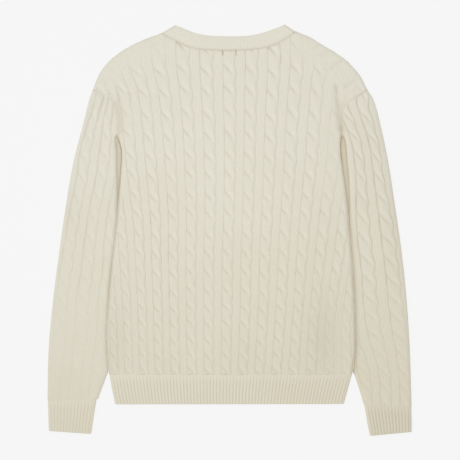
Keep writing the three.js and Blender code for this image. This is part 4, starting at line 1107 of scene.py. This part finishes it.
def ribbed_band(node, sides_of, ribs, height):
    """A ribbed tube, flattened, with a turned free edge."""
    skin = Skin()
    hollow, band_shade = RIB_SHADES[node]
    middle = min(MIDDLE, height / 2)
    points = POINTS_A_RIB * ribs + 1
    even = np.linspace(0.1, 0.93, 16)
    parts = np.concatenate([[0, 0.012, 0.03, 0.06], even, [0.96, 0.98, 0.993, 1]])
    depth_mm = abs(sides_of[LEFT]["y"][-1] - sides_of[LEFT]["y"][0])
    x, y, s, edge = band_grid(sides_of, parts, points, EDGE_OFFSETS[:-1])
    along = np.broadcast_to(parts[:, None], x.shape)
    rib = s * ribs
    wave = np.cos(2 * np.pi * (rib - 0.5))
    crest = np.sign(wave) * np.abs(wave) ** 0.8
    strength = ease(0, 3, edge) * (0.3 + 0.7 * ease(0, 0.3, along)) * ease(0, 0.03, along)
    rise = (0.4 * crest + 0.35) * strength
    turn = 1.1 * (1 - rounded((1 - along) * depth_mm, 1.6)) + 0.15 * bell(along * depth_mm, 2.0)
    z = middle + (height - middle) * rounded(edge, EDGE_RADIUS) + rise - turn
    z = np.where(edge < 1e-6, middle, z)
    # Painted shade in the ribs' hollows, and the band's painted shade over all of it
    shade = hollow * (0.5 - 0.5 * crest) ** 2 * strength + band_shade
    uv = [rib * 2, along * depth_mm / RIB_ROW]
    top = skin.sheet(x, y, z, [shade, 0, *uv])
    few = np.array([0, 0.25, 0.5, 0.75, 1.0])
    ux, uy, us, uedge = band_grid(sides_of, few, 2 * ribs + 1, EDGE_OFFSETS[:-1])
    uz = np.where(uedge < 1e-6, middle, middle * (1 - rounded(uedge, EDGE_RADIUS)))
    under_uv = [us * ribs * 2, few[:, None] * depth_mm / RIB_ROW]
    under = skin.sheet(ux, uy, uz, [0.1, 0, *under_uv], under=True)

    def slit(roof):
        """The upper or lower face of the hollow, a wall in from the band's sides."""
        full_x, full_y, s_full, _ = band_grid(sides_of, few, ribs, [0, 2])
        width = (full_x[:, -1] - full_x[:, 0])[:, None]
        inset = WALL / width
        squeezed = inset + s_full * (1 - 2 * inset)
        sx = mix(full_x[:, :1], full_x[:, -1:], squeezed)
        sy = mix(full_y[:, :1], full_y[:, -1:], squeezed)
        from_side = np.minimum(squeezed, 1 - squeezed) * width
        lift = rounded(from_side - WALL, EDGE_RADIUS - WALL)
        sz = middle + ((height - WALL if roof else WALL) - middle) * lift
        sz[:, 0] = sz[:, -1] = middle
        return sx, skin.sheet(sx, sy, sz, [0.4, 0, 0, 0], under=roof)

    rx, roof = slit(True)
    fx, floor = slit(False)
    for line in (0, -1):
        skin.join(line == 0, top[line], roof[line], x[line], rx[line])
        skin.join(line == 0, floor[line], under[line], fx[line], ux[line])
    skin.strip(top[:, 0], under[:, 0], parts, few)
    skin.strip(under[:, -1], top[:, -1], few, parts)
    return skin.piece(f"{node}_knit", node, rib_knit)


# The neckband: shares of its way round, its depth, one row of stitches, and its seams' gaps
BACK_SHARE = 0.44
FOLD_SHARE = 0.06
BAND_DEPTH = 24
BAND_ROW = 2.6
BACK_SEAM_GAP = 0.1
FRONT_SEAM_GAP = 0.45


def neck_rib(place):
    """Ribs from the left fold, and their crests, from -1 to 1."""
    ribs = place / BACK_SHARE * NECK_RIBS
    return ribs, np.cos(2 * np.pi * (ribs - 0.5))


def closing(values):
    return np.concatenate([values, values[:1]], axis=0)


def neckband():
    skin = Skin()

    def loop(back_count, fold_count, front_count, radius, across):
        """Points round the band: the back half, the right fold, the front half, the left fold."""
        points = []

        def turn(fold, start, way, share):
            for n in range(1, fold_count):
                angle = math.pi * (start + way * n / fold_count)
                place = share + FOLD_SHARE * n / fold_count
                points.append((fold["upper"], fold["lower"], fold["out"], angle, place))

        left, right = BAND_FOLDS[LEFT], BAND_FOLDS[RIGHT]
        for s in np.linspace(0, 1, back_count):
            ux, lx = mix(left["upper"][0], right["upper"][0], s), mix(NECK_LEFT, NECK_RIGHT, s)
            low = left["lower"] if s == 0 else right["lower"] if s == 1 else (lx, neck_y(lx))
            points.append(((ux, band_top_y(ux)), low, (0, 0), math.pi / 2, BACK_SHARE * s))
        turn(right, 0.5, -1, BACK_SHARE)
        for n in range(front_count + 1):
            part = 1 - n / front_count
            high = front_edge(part, "upper", FRONT_UPPER_DROP)
            low = front_edge(part, "lower", FRONT_LOWER_DROP)
            points.append((high, low, (0, 0), -math.pi / 2, 0.5 + BACK_SHARE * n / front_count))
        turn(left, -0.5, 1, 1 - FOLD_SHARE)
        upper, lower, out, angle, place = (np.array(part, float) for part in zip(*points))
        step = (upper - lower) / np.linalg.norm(upper - lower, axis=1)[:, None]
        gap = np.where(place <= BACK_SHARE, BACK_SEAM_GAP, FRONT_SEAM_GAP)
        lower = lower + step * gap[:, None]
        upper, lower, out, angle = closing(upper), closing(lower), closing(out), closing(angle)
        place = np.append(place, 1.0)
        a = np.array(across)[:, None]
        flat_x = mix(upper[:, 0], lower[:, 0], a)
        flat_y = mix(upper[:, 1], lower[:, 1], a)
        r = radius(a, place)
        x = flat_x + out[:, 0] * r * np.cos(angle)
        y = flat_y + out[:, 1] * r * np.cos(angle)
        z = MIDDLE + r * np.sin(angle)
        return x, y, z, place, a

    def outer_radius(a, place):
        _, crest = neck_rib(place)
        back = (place > 0) & (place < BACK_SHARE)
        calm = ease(0, 0.12, a) * (1 - ease(0.9, 1, a)) * back
        turned = 0.9 * (1 - rounded(a * BAND_DEPTH, 2.2))
        turned = turned + 0.3 * bell((1 - a) * BAND_DEPTH, 2.2)
        roll = 0.35 * np.sin(np.pi * a)
        return MIDDLE + (0.15 * crest + 0.2) * calm + (roll - turned) * back

    def inner_radius(a, place):
        return np.full(np.broadcast(a, place).shape, MIDDLE - WALL)

    even = np.linspace(0.16, 0.86, 8)
    across = np.concatenate([[0, 0.01, 0.03, 0.06, 0.1], even, [0.91, 0.95, 0.98, 1]])
    x, y, z, place, a = loop(10 * NECK_RIBS + 1, 12, 120, outer_radius, across)
    ribs, crest = neck_rib(place)
    # Painted shade in the ribs' hollows, clearest in the middle, a little painted light all over, and
    # painted shade along the seam
    clear = 0.35 + 0.65 * np.exp(-((x / 60) ** 2))
    by_seam = 0.28 * bell((1 - a) * BAND_DEPTH, 2.6)
    shade = 0.19 * clear * (0.5 - 0.5 * crest) ** 2 - 0.07 + by_seam
    outer = skin.sheet(x, y, z, [shade, 0, ribs * 2, a * BAND_DEPTH / BAND_ROW])
    ix, iy, iz, inner_place, _ = loop(25, 6, 24, inner_radius, [0, 1])
    inner = skin.sheet(ix, iy, iz, [0.3, 0, 0, 0], under=True)
    skin.strip(inner[0], outer[0], inner_place, place)
    skin.strip(outer[-1], inner[-1], place, inner_place)
    return skin.piece("neckband_knit", "neckband", rib_knit)


pieces = {
    "back": back_panel(),
    "front": front_panel(),
    "sleeve_left": sleeve(LEFT),
    "sleeve_right": sleeve(RIGHT),
    "cuff_left": ribbed_band("cuff_left", CUFF_SIDES[LEFT], CUFF_RIBS, CUFF_HEIGHT),
    "cuff_right": ribbed_band("cuff_right", CUFF_SIDES[RIGHT], CUFF_RIBS, CUFF_HEIGHT),
    "hem": ribbed_band("hem_band", HEM_SIDES, HEM_RIBS, HEM_HEIGHT),
    "neckband": neckband(),
}

# The floor, which isn't part of the garment
FLOOR = 4.0
floor_mesh = bpy.data.meshes.new("floor")
corners = [(-FLOOR, -FLOOR, 0), (FLOOR, -FLOOR, 0), (FLOOR, FLOOR, 0), (-FLOOR, FLOOR, 0)]
floor_mesh.from_pydata(corners, [], [(0, 1, 2, 3)])
floor = placed("floor", floor_mesh)
floor_paint = Paint("pale_floor")
floor_paint.shader.inputs["Base Color"].default_value = (0.1, 0.1, 0.1, 1)
floor_paint.shader.inputs["Roughness"].default_value = 1.0
floor_paint.shader.inputs["Specular IOR Level"].default_value = 0.0
floor_paint.shader.inputs["Emission Color"].default_value = (1, 1, 1, 1)
floor_paint.shader.inputs["Emission Strength"].default_value = 0.83
floor_mesh.materials.append(floor_paint.material)

# Soft light: even all round, with a weak lamp from the left and a broad one overhead
world = bpy.data.worlds.new("soft_room")
bpy.context.scene.world = world
world.use_nodes = True
world.node_tree.nodes["Background"].inputs[0].default_value = (1.0, 1.0, 1.0, 1)
world.node_tree.nodes["Background"].inputs[1].default_value = 0.71


def lamp(name, kind, energy, place):
    """A lamp at a place, turned towards the garment's middle."""
    made = bpy.data.lights.new(name, kind)
    made.energy = energy
    thing = placed(name, made)
    thing.location = place
    toward = -mathutils.Vector(place)
    thing.rotation_euler = toward.to_track_quat("-Z", "Y").to_euler()
    return made


side_lamp = lamp("side_lamp", "SUN", 0.32, (-0.8, -0.35, 0.85))
side_lamp.angle = math.radians(30)
broad_lamp = lamp("broad_lamp", "AREA", 2.75, (-0.15, 0.1, 1.1))
broad_lamp.size = 0.8

# Plain colours: what is lit as pale as paper shows as pale as paper
bpy.context.scene.view_settings.view_transform = "Standard"

# The camera looks straight down, as far off as a long lens needs
camera = bpy.data.cameras.new("above")
camera.sensor_width = 36
camera.lens = 100
VIEW_WIDTH = 828 * MM
VIEW_X = 0.9
distance = VIEW_WIDTH * camera.lens / camera.sensor_width + BODY_HEIGHT * MM
camera_object = placed("above", camera)
camera_object.location = ((VIEW_X + SHIFT_X) * MM, SHIFT_Y * MM, distance)
bpy.context.scene.camera = camera_object
